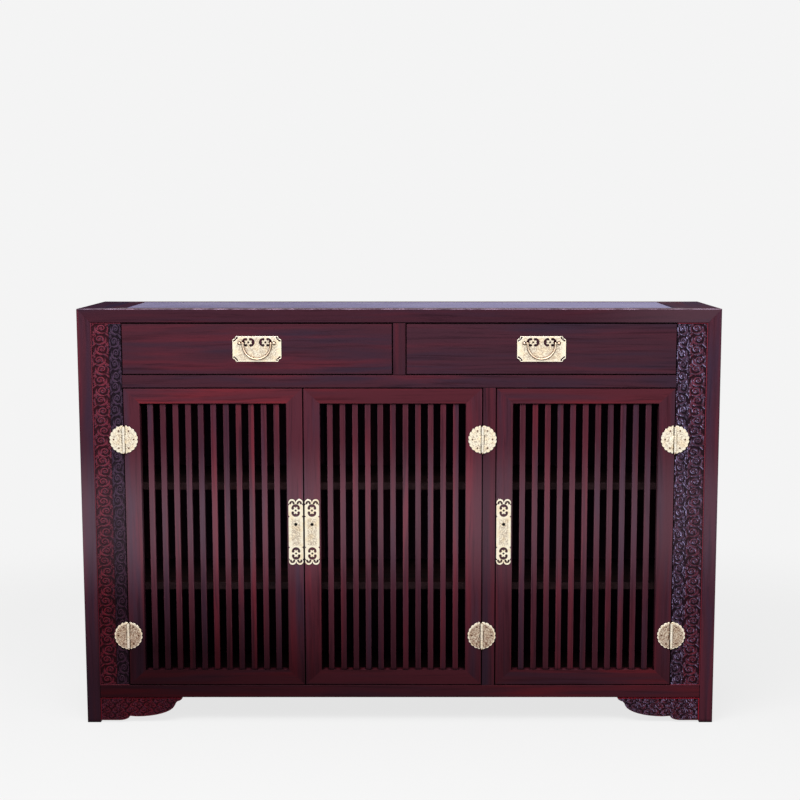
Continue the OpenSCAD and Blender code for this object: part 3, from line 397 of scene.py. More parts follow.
def makeBrassGroup():
    # cast and brushed brass: cloudy tone, fine brush lines along X, small dents
    look = castLook
    tree, given, out = newGroup("brassTone", {
        "Vector": "v", "Bright": "c", "Deep": "c",
    }, {"Color": "c", "Roughness": "f", "Height": "f"})
    cloud = noiseOf(tree, given["Vector"], look["cloudScale"], 4, 0.6)
    drawn = vectorCalc(tree, "MULTIPLY", given["Vector"], look["brushed"])
    line = noiseOf(tree, drawn, look["brushScale"], 2, 0.6)
    dent = noiseOf(tree, given["Vector"], look["dentScale"], 2, 0.5)
    mask = spread(tree, cloud, *look["cloud"])
    feed(tree, out["Color"], blendColor(tree, mask, given["Bright"], given["Deep"]))
    rough = spread(tree, cloud, *look["cloudRough"])
    feed(tree, out["Roughness"], plus(tree, rough, times(tree, line, look["lineRough"])))
    height = plus(tree, times(tree, line, look["lineHeight"]), times(tree, dent, look["dentHeight"]))
    feed(tree, out["Height"], height)
    return tree


woodFigure = makeFigureGroup()
edgeWear = makeWearGroup()
crevice = makeCreviceGroup()
bloomAndDepth = makeHeightGroup()
engraving = makeEngravingGroup()
brassTone = makeBrassGroup()
print("shared effects built")


# wood finishes

sharedFinish = {
    "streaks": 0.6, "pores": 0.7, "wear": 0.5, "roughness": 0.34, "specular": 0.035, "bump": 0.10,
    "bloomAmount": 0.0, "eastAmount": 0.0, "depthAmount": 1.0, "crevice": 1.0, "boardTone": 0.3,
}
woodFinishes = {  # colours as they show on a screen, and what differs from the finish it is like
    "rosewood": {
        "dark": (40, 18, 27), "middle": (75, 35, 45), "violet": (62, 40, 54), "red": (97, 36, 46),
        "worn": (112, 66, 80), "bloomAmount": 0.055,
    },
    "lowRosewood": {
        "dark": (42, 17, 24), "middle": (80, 34, 43), "violet": (64, 36, 48), "red": (104, 34, 42),
        "worn": (112, 60, 72), "depthAmount": 0.8,
    },
    "coolRosewood": {
        "dark": (33, 17, 25), "middle": (62, 32, 42), "violet": (50, 34, 47), "red": (80, 33, 43),
        "worn": (118, 84, 100), "bloomAmount": 0.04, "depthAmount": 0.7,
    },
    "postRosewood": {
        "dark": (38, 19, 28), "middle": (68, 35, 46), "violet": (52, 37, 53), "red": (92, 37, 48),
        "worn": (108, 62, 78), "bloomAmount": 0.055, "depthAmount": 0.5,
    },
    "rosewoodDark": {
        "dark": (30, 18, 28), "middle": (58, 38, 52), "violet": (48, 38, 56), "red": (72, 38, 48),
        "worn": (96, 64, 80), "wear": 0.35, "roughness": 0.5, "specular": 0.0, "crevice": 0.6,
    },
    "insideWood": {
        "dark": (28, 16, 17), "middle": (44, 26, 26), "violet": (38, 26, 29), "red": (62, 32, 30),
        "worn": (80, 48, 42), "pores": 0.9, "wear": 0.2, "roughness": 0.6, "specular": 0.06, "bump": 0.16,
        "crevice": 0.6,
    },
    # the pale lilac edges here are a painted highlight along the top's rounded edges, with a painted sheen at
    # the right end
    "topRosewood": {
        "like": "coolRosewood", "worn": (158, 134, 156), "wear": 0.8, "roughness": 0.4, "specular": 0.012,
        "eastAmount": 0.032,
    },
    "duskRosewood": {
        "like": "coolRosewood", "middle": (58, 32, 42), "violet": (47, 33, 46), "red": (68, 33, 43),
    },
    # a painted sheen at the right end
    "endRosewood": {"like": "rosewoodDark", "eastAmount": 0.03},
    "shelfWood": {
        "like": "insideWood", "dark": (20, 12, 13), "middle": (31, 19, 20), "violet": (27, 19, 21),
        "red": (42, 23, 23), "worn": (51, 34, 37), "wear": 1.0,
    },
}
grainDepth = 0.0006  # of the bump on wood, in metres
brushDepth = 0.0002  # of the bump on metal
seedStride = (3.1, 5.7, 1.9)  # how far apart two boards are cut from the same figure
grainTurns = {  # which of X, Y and Z each part of the grain vector comes from
    "X": ("Y", "Z", "X"),
    "Y": ("X", "Z", "Y"),
    "Z": ("X", "Y", "Z"),
}


def finishLook(finish):
    own = woodFinishes[finish]
    base = finishLook(own["like"]) if "like" in own else sharedFinish
    return {**base, **own}


def grainVector(tree, along):
    axes = axesOf(tree, objectPlace(tree))
    turned = tree.nodes.new("ShaderNodeCombineXYZ")
    for slot, source in zip("XYZ", grainTurns[along]):
        feed(tree, turned.inputs[slot], axes[source])
    seed = tree.nodes.new("ShaderNodeCombineXYZ")
    board = attributeOf(tree, "boardSeed")
    for slot, stride in zip("XYZ", seedStride):
        feed(tree, seed.inputs[slot], times(tree, board, stride))
    return vectorCalc(tree, "ADD", turned.outputs[0], seed.outputs[0]), board


def placeFigure(tree, vector, look):
    dark, middle, violet, red = paints(look, "dark", "middle", "violet", "red")
    return placeGroup(tree, woodFigure, Vector=vector, Dark=dark, Middle=middle, Violet=violet, Red=red,
                      Streaks=look["streaks"], Pores=look["pores"])


def makeWood(finish, along):
    look = finishLook(finish)
    material, tree, shader = newMaterial(finish + "Grain" + along)
    dark, rubbed = paints(look, "dark", "worn")
    vector, board = grainVector(tree, along)
    figure = placeFigure(tree, vector, look)
    tone = spread(tree, board, 0.0, 1.0, 0.0, look["boardTone"])  # each board a little darker or not
    color = blendColor(tree, tone, figure["Color"], dark)
    # edges: wear with a painted highlight where marked 1, painted shade where marked -1
    worn = placeGroup(tree, edgeWear, Vector=vector, Color=color, Worn=rubbed, Amount=look["wear"])
    # painted sheen part way up and at the right end, painted shade toward the floor
    aged = placeGroup(tree, bloomAndDepth, Color=worn["Color"], Bloom=heightLook["bloom"],
                      Depth=heightLook["depth"], BloomAmount=look["bloomAmount"],
                      DepthAmount=look["depthAmount"], EastAmount=look["eastAmount"])
    # painted shade where surfaces crowd each other
    deep = placeGroup(tree, crevice, Color=aged["Color"], Amount=look["crevice"])
    feed(tree, shader["Base Color"], deep["Color"])
    feed(tree, shader["Roughness"], plus(tree, figure["Roughness"], look["roughness"], True))
    shader["Specular IOR Level"].default_value = look["specular"]
    addBump(tree, shader, look["bump"], grainDepth, figure["Height"])
    return material


woods = {finish: {along: makeWood(finish, along) for along in "XYZ"} for finish in woodFinishes}


carvedLook = {
    # the two hollow colours are painted shade, the lilac colour a painted highlight, and depth a painted
    # shade toward the floor
    "hollow": (14, 7, 12), "redHollow": (26, 9, 14), "dark": (44, 20, 31), "middle": (86, 40, 53),
    "violet": (70, 42, 58), "red": (112, 40, 52), "shade": (58, 44, 62), "glow": (122, 38, 52),
    "line": (160, 32, 50), "shine": (186, 178, 226), "glowAmount": 0.85,
    "hollowFrom": (0.1, 0.92), "rubScale": 150, "rub": (0.43, 0.6, 0.04, 1.0),
    "streaks": 0.4, "pores": 0.5, "bloomAmount": 0.02, "depth": (0.48, 0.30, 0.34, 1.0), "depthStart": 0.8,
    "roughness": 0.3, "hollowRoughness": 0.4, "specular": 0.035, "bump": 0.12,
}


def makeCarvedWood():
    look = carvedLook
    material, tree, shader = newMaterial("carvedRosewood")
    shade, glow, line, glint = paints(look, "shade", "glow", "line", "shine")
    vector, board = grainVector(tree, "Z")
    figure = placeFigure(tree, vector, look)
    tone = attributeOf(tree, "carvedTone")  # below 0 shaded, above 0 red, above 1 bright red
    red = spread(tree, tone, 0.0, 1.0)
    color = blendColor(tree, spread(tree, tone, 0.0, -1.0), figure["Color"], shade)
    color = blendColor(tree, times(tree, red, look["glowAmount"]), color, glow)
    color = blendColor(tree, spread(tree, tone, 1.0, 2.0), color, line)
    lift = attributeOf(tree, "carvedHeight")  # 0 in the hollows, 1 on the tops
    # painted shade: the hollows of the carving darker
    hollow = spread(tree, lift, *look["hollowFrom"], 1.0, 0.0)
    color = blendColor(tree, hollow, color, blendColor(tree, red, *paints(look, "hollow", "redHollow")))
    # painted highlight on the flanks the glint mask picks out, broken into patches
    rub = spread(tree, noiseOf(tree, vector, look["rubScale"], 3, 0.7), *look["rub"])
    shine = times(tree, attributeOf(tree, "carvedShine"), rub)
    color = blendColor(tree, shine, color, glint)
    # painted sheen part way up, painted shade toward the floor
    aged = placeGroup(tree, bloomAndDepth, Color=color, Bloom=heightLook["bloom"], Depth=look["depth"],
                      BloomAmount=look["bloomAmount"], DepthStart=look["depthStart"])
    feed(tree, shader["Base Color"], aged["Color"])
    rough = plus(tree, figure["Roughness"], times(tree, hollow, look["hollowRoughness"]))
    feed(tree, shader["Roughness"], plus(tree, rough, look["roughness"], True))
    shader["Specular IOR Level"].default_value = look["specular"]
    addBump(tree, shader, look["bump"], grainDepth, figure["Height"])
    return material


# the other finishes

brassLooks = {  # tint is the gloss colour at a glancing angle; edge is a rim colour of wear and painted highlight; low darkens the lower hinges and plates as painted shade
    "plateBrass": {
        "bright": (255, 245, 222), "deep": (244, 227, 196), "edge": (255, 252, 242), "line": (108, 84, 68),
        "stipple": (150, 122, 104), "marks": 0.62, "outline": 0.0, "low": (0.86, 0.80, 0.78, 1.0),
        "tint": (1.0, 1.0, 1.0, 1.0), "roughness": 0.3, "bump": 0.2,
    },
    "bailBrass": {
        "bright": (242, 222, 196), "deep": (212, 184, 156), "edge": (250, 236, 214), "line": (138, 112, 94),
        "stipple": (196, 166, 142), "marks": 0.3, "outline": 1.0, "low": (1.0, 1.0, 1.0, 1.0),
        "tint": (0.16, 0.06, 0.03, 1.0), "roughness": 0.3, "bump": 0.1,
    },
    "nailBrass": {
        "bright": (104, 78, 62), "deep": (70, 48, 40), "edge": (120, 92, 74), "line": (70, 48, 40),
        "stipple": (84, 60, 50), "marks": 0.3, "outline": 0.5, "low": (0.7, 0.6, 0.6, 1.0),
        "tint": (0.3, 0.15, 0.1, 1.0), "roughness": 0.4, "bump": 0.1,
    },
}
# color is the dark outline of painted shade at glancing edges
rimBrass = {"color": (0.10, 0.035, 0.02, 1.0), "blend": 0.35, "full": 0.2, "wear": 0.9, "lineDepth": 1.5}
steelLook = {
    "bright": (0.55, 0.55, 0.56, 1.0), "deep": (0.36, 0.36, 0.37, 1.0), "roughness": 0.34, "bump": 0.2,
}
slabLook = {
    # the slab's colour turns lighter toward the right end, a painted sheen
    "ground": (42, 38, 56), "east": (94, 92, 115), "eastFrom": (-0.4, 0.5),
    "vein": (86, 82, 106), "veinAmount": 0.4, "veinScale": 3.0, "veinWidth": 0.05,
    "fleck": (40, 36, 52), "fleckAmount": 0.5, "fleckScale": 900, "fleckFrom": (0.6, 0.72),
    "roughness": 0.2, "smear": 0.05, "smearScale": 6, "smearFrom": (0.3, 0.7), "specular": 0.004,
    "haze": 0.5, "hazeTint": (0.44, 0.31, 1.0, 1.0), "hazeRoughness": 0.2,
}


def finishMetal(tree, shader, look, tone, color, height):
    feed(tree, shader["Base Color"], color)
    shader["Metallic"].default_value = 1.0
    feed(tree, shader["Roughness"], plus(tree, tone["Roughness"], look["roughness"]))
    addBump(tree, shader, look["bump"], brushDepth, height)


def makeBrass(name):
    look = brassLooks[name]
    material, tree, shader = newMaterial(name)
    bright, deep, edge, line, dots = paints(look, "bright", "deep", "edge", "line", "stipple")
    place = objectPlace(tree)
    tone = placeGroup(tree, brassTone, Vector=place, Bright=bright, Deep=deep)
    cut = placeGroup(tree, engraving, Vector=place)
    marks = times(tree, cut["Stipple"], look["marks"], clamp=True)
    color = blendColor(tree, marks, tone["Color"], dots)
    color = blendColor(tree, cut["Lines"], color, line)
    # rim: wear with a painted highlight; hole edges and knuckle joints: painted shade
    worn = placeGroup(tree, edgeWear, Vector=place, Color=color, Worn=edge, Amount=rimBrass["wear"])
    # painted shade on the lower hinges and plates
    aged = placeGroup(tree, bloomAndDepth, Color=worn["Color"], Bloom=(1.0, 1.0, 1.0, 1.0), Depth=look["low"],
                      BloomAmount=0.0)
    # painted shade: a dark outline where the surface turns away at a glancing angle, on bails and nails
    facing = addNode(tree, "ShaderNodeLayerWeight", Blend=rimBrass["blend"]).outputs["Facing"]
    outline = times(tree, spread(tree, facing, 0.0, rimBrass["full"]), look["outline"])
    color = blendColor(tree, outline, aged["Color"], rimBrass["color"])
    shader["Specular Tint"].default_value = look["tint"]
    height = minus(tree, tone["Height"], times(tree, cut["Lines"], rimBrass["lineDepth"]))
    finishMetal(tree, shader, look, tone, color, height)
    return material


def makeSteel():
    look = steelLook
    material, tree, shader = newMaterial("plainSteel")
    tone = placeGroup(tree, brassTone, Vector=objectPlace(tree), Bright=look["bright"], Deep=look["deep"])
    finishMetal(tree, shader, look, tone, tone["Color"], tone["Height"])
    return material


def makeSlabStone():
    look = slabLook
    material, tree, shader = newMaterial("polishedSlab")
    ground, east, pale, dark = paints(look, "ground", "east", "vein", "fleck")
    place = objectPlace(tree)
    drift = noiseOf(tree, place, look["veinScale"], 5, 0.6, 0.8)
    vein = spread(tree, calc(tree, "ABSOLUTE", minus(tree, drift, 0.5)), look["veinWidth"], 0.0)
    fleck = spread(tree, noiseOf(tree, place, look["fleckScale"], 2, 0.5), *look["fleckFrom"])
    # painted sheen: the slab lighter toward its right end
    color = blendColor(tree, spread(tree, axesOf(tree, place)["X"], *look["eastFrom"]), ground, east)
    color = blendColor(tree, times(tree, vein, look["veinAmount"]), color, pale)
    color = blendColor(tree, times(tree, fleck, look["fleckAmount"]), color, dark)
    feed(tree, shader["Base Color"], color)
    least = look["roughness"]
    smear = noiseOf(tree, place, look["smearScale"], 3, 0.5)
    feed(tree, shader["Roughness"], spread(tree, smear, *look["smearFrom"], least, least + look["smear"]))
    shader["Sheen Weight"].default_value = look["haze"]
    shader["Sheen Tint"].default_value = look["hazeTint"]
    shader["Sheen Roughness"].default_value = look["hazeRoughness"]
    shader["Specular IOR Level"].default_value = look["specular"]
    return material


carvedRosewood = makeCarvedWood()
brasses = {name: makeBrass(name) for name in brassLooks}
plainSteel = makeSteel()
slabStone = makeSlabStone()
print("finishes built")


# shaping helpers

flatWithin = math.radians(0.5)
sharpFrom = math.radians(40)
bevelFrom = math.radians(50)
squareFrom = 0.999  # of a normal along its axis
weldWithin = 1e-6  # in metres, as the next
tiny = 1e-5  # for what should lie in one plane
slotOf = {entry["node"]: entry["material_slot"] for entry in frame["record"]["subparts"]}


def addObject(name, data):
    made = bpy.data.objects.new(name, data)
    bpy.context.scene.collection.objects.link(made)
    return made


def openCopy(node):
    # the CAD node's mesh with its flat faces whole again
    bm = bmesh.new()
    bm.from_mesh(nodes[node].data)
    bmesh.ops.remove_doubles(bm, verts=bm.verts, dist=weldWithin)
    bmesh.ops.dissolve_limit(bm, angle_limit=flatWithin, verts=bm.verts, edges=bm.edges)
    return bm


def edgedCopy(node):
    # the same with a mark on its faces, which stands at 0 until an edge is rounded or rubbed
    bm = openCopy(node)
    return bm, bm.faces.layers.float.new("edgeFace")


def boardsOf(bm):
    # the faces of each separate board
    seen = set()
    boards = []
    for face in bm.faces:
        if face in seen:
            continue
        seen.add(face)
        board = [face]
        for member in board:
            for edge in member.edges:
                for other in edge.link_faces:
                    if other not in seen:
                        seen.add(other)
                        board.append(other)
        boards.append(board)
    return boards


def spanOf(board):
    # lowest and highest corners of a board
    points = [vert.co for face in board for vert in face.verts]
    return [[pick(p[i] for p in points) for i in range(3)] for pick in (min, max)]


def isSquare(normal):
    return max(abs(normal.x), abs(normal.y), abs(normal.z)) > squareFrom


def roundEdges(bm, edges, layer, width, mark=1.0):
    made = bmesh.ops.bevel(bm, geom=edges, offset=width, offset_type="OFFSET", segments=2, profile=0.5,
                           affect="EDGES", clamp_overlap=False)
    for face in made["faces"]:
        face[layer] = mark


def longEdges(bm, shortest):
    bm.normal_update()
    found = []
    for edge in bm.edges:
        if len(edge.link_faces) != 2 or edge.calc_length() < shortest or not edge.is_convex:
            continue
        if edge.calc_face_angle() < bevelFrom:
            continue
        if all(isSquare(face.normal) for face in edge.link_faces):
            found.append(edge)
    return found


def finishPiece(node, suffix, bm, materials):
    # the new piece stands for its CAD node and rides on the same body
    name = node + suffix
    mesh = bpy.data.meshes.new(name)
    bm.to_mesh(mesh)
    bm.free()
    for material in materials:
        mesh.materials.append(material)
    mesh.shade_smooth()
    mesh.set_sharp_from_angle(angle=sharpFrom)
    piece = addObject(name, mesh)
    even = piece.modifiers.new("evenNormals", "WEIGHTED_NORMAL")
    even.keep_sharp = True
    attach(piece, nodes[node]["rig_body"])
    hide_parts(node)


boardLook = {
    "shortest": 18,  # edge that is rounded, mm
    "rubbedBelow": 0.15,  # height of the low rails, m
    "facing": 0.9, "rising": 0.3, "level": 0.97,  # of a pale-marked face's normal
    # the rounded edges of these parts get painted shade, for dark gap lines between them
    "darkEdged": ["mid_rail", "drawer_stile", "door_stile", "bottom_rail_front", "post_front_left",
                  "post_front_right", "top_rail_front", "top_rail_back", "drawer_left_front",
                  "drawer_right_front"],
}


def isDoorPart(node, *ends):
    return node.startswith("door_") and node.endswith(ends)


def isRubbed(node, face):
    # the shelves' fronts are marked pale; the upper edges of the low rails and the rounded upper edges of the
    # top rails get a painted highlight
    if node == "shelves":
        return face.normal.y < -boardLook["facing"]
    if node == "bottom_rail_front" or isDoorPart(node, "_rails"):
        isLow = face.calc_center_median().z < boardLook["rubbedBelow"]
        return isLow and face.normal.z > boardLook["rising"]
    return node.startswith("top_rail") and boardLook["rising"] < face.normal.z < boardLook["level"]


def makeBoards(node, finish, edge):
    # wooden node: edges rounded, with painted shade on the shade-edged parts and wear with a painted
    # highlight on the others, and each board gets its own grain
    bm, edgeLayer = edgedCopy(node)
    isDark = node in boardLook["darkEdged"] or isDoorPart(node, "_stiles", "_rails")
    roundEdges(bm, longEdges(bm, boardLook["shortest"] * mm), edgeLayer, edge * mm, -1.0 if isDark else 1.0)
    bm.normal_update()
    for face in bm.faces:
        if isRubbed(node, face):
            face[edgeLayer] = 1.0
    seedLayer = bm.faces.layers.float.new("boardSeed")
    chance = random.Random("boards of " + node)
    for board in boardsOf(bm):
        low, high = spanOf(board)
        size = [high[i] - low[i] for i in range(3)]
        along = size.index(max(size))
        seed = chance.random()
        for face in board:
            face.material_index = along
            face[seedLayer] = seed
    finishPiece(node, "_wood", bm, [woods[finish][axis] for axis in "XYZ"])


# carcass

carcassBoards = {
    "rosewood": ["side_panel_left", "side_panel_right"],
    "lowRosewood": ["bottom_rail_front", "bottom_rails_side"],
    "coolRosewood": ["mid_rail", "drawer_stile", "door_stile"],
    "topRosewood": ["top_rail_front", "top_rail_back"],
    "endRosewood": ["top_end_left", "top_end_right"],
    "postRosewood": ["post_front_left", "post_front_right", "post_back_left", "post_back_right"],
    "rosewoodDark": ["back_frame", "back_panels"],
    "insideWood": ["top_battens", "bottom_board", "partition", "dust_boards", "drawer_runners",
                   "shelf_cleats"],
    "shelfWood": ["shelves"],
    "edge": 0.8, "topEdge": 1.8,
}
slabShape = {"edge": 0.8, "shortest": 10}


def makeCarcass():
    for finish in woodFinishes:
        for node in carcassBoards.get(finish, []):
            isTop = node.startswith("top_rail") or node.startswith("top_end")
            makeBoards(node, finish, carcassBoards["topEdge" if isTop else "edge"])


def makeSlab():
    bm, edgeLayer = edgedCopy("top_slab")
    roundEdges(bm, longEdges(bm, slabShape["shortest"] * mm), edgeLayer, slabShape["edge"] * mm)
    finishPiece("top_slab", "_stone", bm, [slabStone])


makeCarcass()
makeSlab()
print("carcass and slab built")


# carving

def ridge(px, pz, line, widths, tops):
    # height of a rounded ridge that follows a line of points, 0 away from it
    height = np.zeros(px.shape)
    line = np.asarray(line)
    for i in range(len(line) - 1):
        ax, az = line[i]
        bx, bz = line[i + 1]
        along = (bx - ax) ** 2 + (bz - az) ** 2
        share = np.clip(((px - ax) * (bx - ax) + (pz - az) * (bz - az)) / along, 0, 1)
        gap = np.hypot(px - ax - share * (bx - ax), pz - az - share * (bz - az))
        width = widths[i] + share * (widths[i + 1] - widths[i])
        top = tops[i] + share * (tops[i + 1] - tops[i])
        near = np.clip(1 - (gap / width) ** 2, 0, 1)
        height = np.maximum(height, top * np.sqrt(near))
    return height


def arc(cx, cz, r0, r1, start, sweep, count):
    # points from one angle round to another while the radius goes from r0 to r1
    points = []
    for i in range(count + 1):
        share = i / count
        angle = math.radians(start + sweep * share)
        radius = r0 + (r1 - r0) * share
        points.append((cx + radius * math.cos(angle), cz + radius * math.sin(angle)))
    return points


def swell(count, middle, ends):
    return [ends + (middle - ends) * math.sin(math.pi * i / count) for i in range(count + 1)]


def growing(count, first, last):
    return [first + (last - first) * i / count for i in range(count + 1)]


def dome(px, pz, cx, cz, radius, top):
    gap = np.hypot(px - cx, pz - cz)
    return top * np.sqrt(np.clip(1 - (gap / radius) ** 2, 0, 1))


def volute(px, pz, cx, cz, radius, start, sweep, width, count):
    # a curl that runs in to its eye
    curl = arc(cx, cz, radius, radius * cloudShape["curlIn"], start, sweep, count)
    widths = growing(count, width, width * cloudShape["curlWidth"])
    height = ridge(px, pz, curl, widths, growing(count, 1.0, cloudShape["curlTop"]))
    return np.maximum(height, dome(px, pz, cx, cz, radius * cloudShape["eye"], 1.0))


def crescent(px, pz, cx, cz, radius, start, sweep, width, top, count=12):
    line = arc(cx, cz, radius, radius, start, sweep, count)
    widths = swell(count, width, width * cloudShape["cupWidth"])
    return ridge(px, pz, line, widths, swell(count, top, top * cloudShape["cupTop"]))


cloudShape = {  # in a cell of this size: middle, radius, start and sweep in degrees, width, then count or top
    "cell": (36, 27),
    "curls": [(3.0, 1.0, 8.6, 205, -430, 2.3, 22), (-13.0, -9.4, 3.9, 60, -330, 1.6, 12),
              (14.2, 10.0, 3.4, 230, -330, 1.5, 12)],
    "cups": [(3.0, 1.0, 13.6, 160, 140, 3.3, 1.0), (3.0, 0.0, 13.4, -55, 90, 2.3, 0.85),
             (-3.0, 3.0, 14.4, 108, 60, 2.4, 0.9), (8.0, 3.0, 12.4, 20, 60, 2.0, 0.8)],
    "bead": (15.2, -9.6, 2.4, 0.9),
    "loose": 1.6, "unevenTop": 0.08,
    "curlIn": 0.3, "curlWidth": 0.6, "curlTop": 0.75, "eye": 0.27,  # at a curl's inner end
    "cupWidth": 0.25, "cupTop": 0.6,  # at a cup's ends
}
roeShape = {"pitch": 3.1, "rows": 0.87, "radius": 0.52, "top": 0.42}


def cloudTile(u, v):
    # one carved cloud: a volute, broad crescents that cup it, and small curls
    height = dome(u, v, *cloudShape["bead"])
    for curl in cloudShape["curls"]:
        height = np.maximum(height, volute(u, v, *curl))
    for cup in cloudShape["cups"]:
        height = np.maximum(height, crescent(u, v, *cup))
    return height


def roeGround(u, v):
    # small round grains that cover the ground between the clouds
    pitch = roeShape["pitch"]
    rise = pitch * roeShape["rows"]
    row = np.floor(v / rise)
    inU = np.mod(u + row * pitch / 2, pitch) - pitch / 2
    inV = v - (row + 0.5) * rise
    return dome(inU, inV, 0.0, 0.0, pitch * roeShape["radius"], roeShape["top"])


def handCut(line, cell, salt):
    # a small shift, from -1 to 1, of its own for each cell
    return 2 * np.mod(np.sin(line * 12.99 + cell * 78.23 + salt) * 4375.85, 1) - 1


def cloudField(u, v, cellU, cellV, stagger):
    # clouds in cells of this size in mm, each cut a little differently and every other one turned round
    height = np.zeros(u.shape)
    wide, tall = cloudShape["cell"]
    loose, unevenTop = cloudShape["loose"], cloudShape["unevenTop"]
    for step in (-1, 0, 1):
        line = np.floor(v / cellV) + step
        across = u / cellU + stagger * np.mod(line, 2)
        cell = np.floor(across)
        turned = np.where(np.mod(line + cell, 2) < 1, 1, -1)
        inU = (across - cell - 0.5) * wide * turned + loose * handCut(line, cell, 0.3)
        inV = (v / cellV - line - 0.5) * tall + loose * handCut(line, cell, 5.1)
        top = 1 - unevenTop + unevenTop * handCut(line, cell, 9.7)
        height = np.maximum(height, cloudTile(inU, inV) * top)
    return height


litLook = {"steep": 0.36, "curve": 1.8, "diagonal": 0.7}


def litFlanks(height, u, v, towardU, towardV):
    # mask of a painted highlight: 1 where the relief faces the lower left steeply, 0 where it doesn't
    perV = np.gradient(height, axis=1) / np.gradient(v, axis=1)
    perU = (np.gradient(height, axis=0) - perV * np.gradient(v, axis=0)) / np.gradient(u, axis=0)
    rise = (towardU * perU + towardV * perV) * litLook["diagonal"]
    return np.clip(rise / litLook["steep"], 0, 1) ** litLook["curve"]


stripCarving = {
    "step": 0.8, "depth": 2.2, "board": 3.4, "innerRows": 32, "outerRows": 36, "share": 0.42,
    "border": 2.4, "groove": 0.8, "rimHeight": 0.9, "parting": 0.5,
    "left": {"inner": -0.8, "outer": 0.4, "border": 0.4, "innerShine": 0.08, "outerShine": 0.12},
    "right": {"inner": -0.7, "outer": -0.3, "border": 0.6, "innerShine": 1.0, "outerShine": 0.7},
}


def gridSheet(bm, place, columns, rows, backY):
    # closed slab whose front is a grid of carved points, each with its height, tone and shine
    names = ("carvedHeight", "carvedTone", "carvedShine")
    layers = [bm.verts.layers.float.get(name) or bm.verts.layers.float.new(name) for name in names]
    grid = []
    for i in range(columns + 1):
        line = []
        for j in range(rows + 1):
            x, y, z, values = place(i, j)
            vert = bm.verts.new((x, y, z))
            for layer, value in zip(layers, values):
                vert[layer] = value
            line.append(vert)
        grid.append(line)
    for i in range(columns):
        for j in range(rows):
            bm.faces.new((grid[i][j], grid[i + 1][j], grid[i + 1][j + 1], grid[i][j + 1]))
    rim = [grid[i][0] for i in range(columns)] + [grid[columns][j] for j in range(rows)]
    rim += [grid[i][rows] for i in range(columns, 0, -1)] + [grid[0][j] for j in range(rows, 0, -1)]
    behind = [bm.verts.new((vert.co.x, backY, vert.co.z)) for vert in rim]
    for i in range(len(rim)):
        k = (i + 1) % len(rim)
        bm.faces.new((rim[k], rim[i], behind[i], behind[k]))
    bm.faces.new(list(reversed(behind)))


def addBoardBehind(bm, node, isFace, backY):
    # the CAD board, with its carved face moved back behind the carving
    board = openCopy(node)
    for vert in board.verts:
        if isFace(vert.co):
            vert.co.y = backY
    mesh = bpy.data.meshes.new("boardPart")
    board.to_mesh(mesh)
    board.free()
    bm.from_mesh(mesh)
    bmesh.ops.recalc_face_normals(bm, faces=bm.faces)
    seedLayer = bm.faces.layers.float.new("boardSeed")
    seed = random.Random("carving of " + node).random()
    for face in bm.faces:
        face[seedLayer] = seed


def finishCarving(node, place, columns, rows, isFace, backY):
    bm = bmesh.new()
    gridSheet(bm, place, columns, rows, backY)
    addBoardBehind(bm, node, isFace, backY)
    finishPiece(node, "_carved", bm, [carvedRosewood])


def stripHeights(u, v, width, tall, look):
    # two columns of clouds, and a rim down the outer side and across both ends
    # gives the clouds alone, the whole relief, where the columns part, and which points are rim
    split = (width - look["border"]) * look["share"]
    clouds = np.zeros(u.shape)
    columns = ((0.0, split, look["innerRows"]), (split, width - look["border"], look["outerRows"]))
    for start, end, rows in columns:
        pitch = (tall - 2 * look["border"]) / rows
        part = cloudField(u - start, v - look["border"], end - start, pitch, 0.0)
        clouds = np.where((u >= start) & (u < end), part, clouds)
    edge = np.minimum(width - u, np.minimum(v, tall - v))
    clouds = np.where((np.abs(u - split) < look["parting"]) | (edge < look["border"]), 0.0, clouds)
    height = np.where(edge < look["border"], 0.0, np.maximum(clouds, roeGround(u, v)))
    isRim = edge < look["border"] - look["groove"]
    return clouds, np.where(isRim, look["rimHeight"], height), split, isRim


def makeCarvedStrip(node, side):
    look = stripCarving
    tones = look["right" if side > 0 else "left"]
    low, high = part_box("bottom_rail_front")[1].z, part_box("top_end_left")[0].z
    outerX = abs(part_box("post_front_right")[0].x)
    innerX = min(abs(corner.x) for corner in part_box(node))
    width = (outerX - innerX) / mm
    tall = (high - low) / mm
    columns = round(width / look["step"])
    rows = round(tall / look["step"])
    u, v = np.meshgrid(np.linspace(0, width, columns + 1), np.linspace(0, tall, rows + 1), indexing="ij")
    clouds, height, split, isRim = stripHeights(u, v, width, tall, look)
    tone = np.where(isRim, tones["border"], np.where(u < split, tones["inner"], tones["outer"]))
    # painted highlight on the flanks of the clouds
    shine = litFlanks(clouds, u, v, side, 1) * np.where(u < split, tones["innerShine"], tones["outerShine"])
    deep = look["depth"] * mm

    def place(i, j):
        y = front + deep * (1 - height[i, j])
        return side * (innerX + u[i, j] * mm), y, low + v[i, j] * mm, (height[i, j], tone[i, j], shine[i, j])

    def isFace(co):
        return co.y < front + tiny and low - 10 * tiny < co.z < high + 10 * tiny

    finishCarving(node, place, columns, rows, isFace, front + look["board"] * mm)


bracketCarving = {
    "step": 0.7, "rows": 88, "tip": 0.4,
    "depth": 2.0, "recess": 3.0, "proud": 1.0, "margin": 1.1, "board": 5.2,
    "top": 1.8, "line": 2.4, "gap": 0.5, "lineHeight": 0.95, "rim": 1.6, "rimHeight": 0.75,
    "left": {"tone": 0.5, "shine": 0.2, "border": 1.2, "cell": (18.0, 13.0)},
    "right": {"tone": -0.2, "shine": 0.95, "border": 1.6, "cell": (22.0, 15.0)},
}


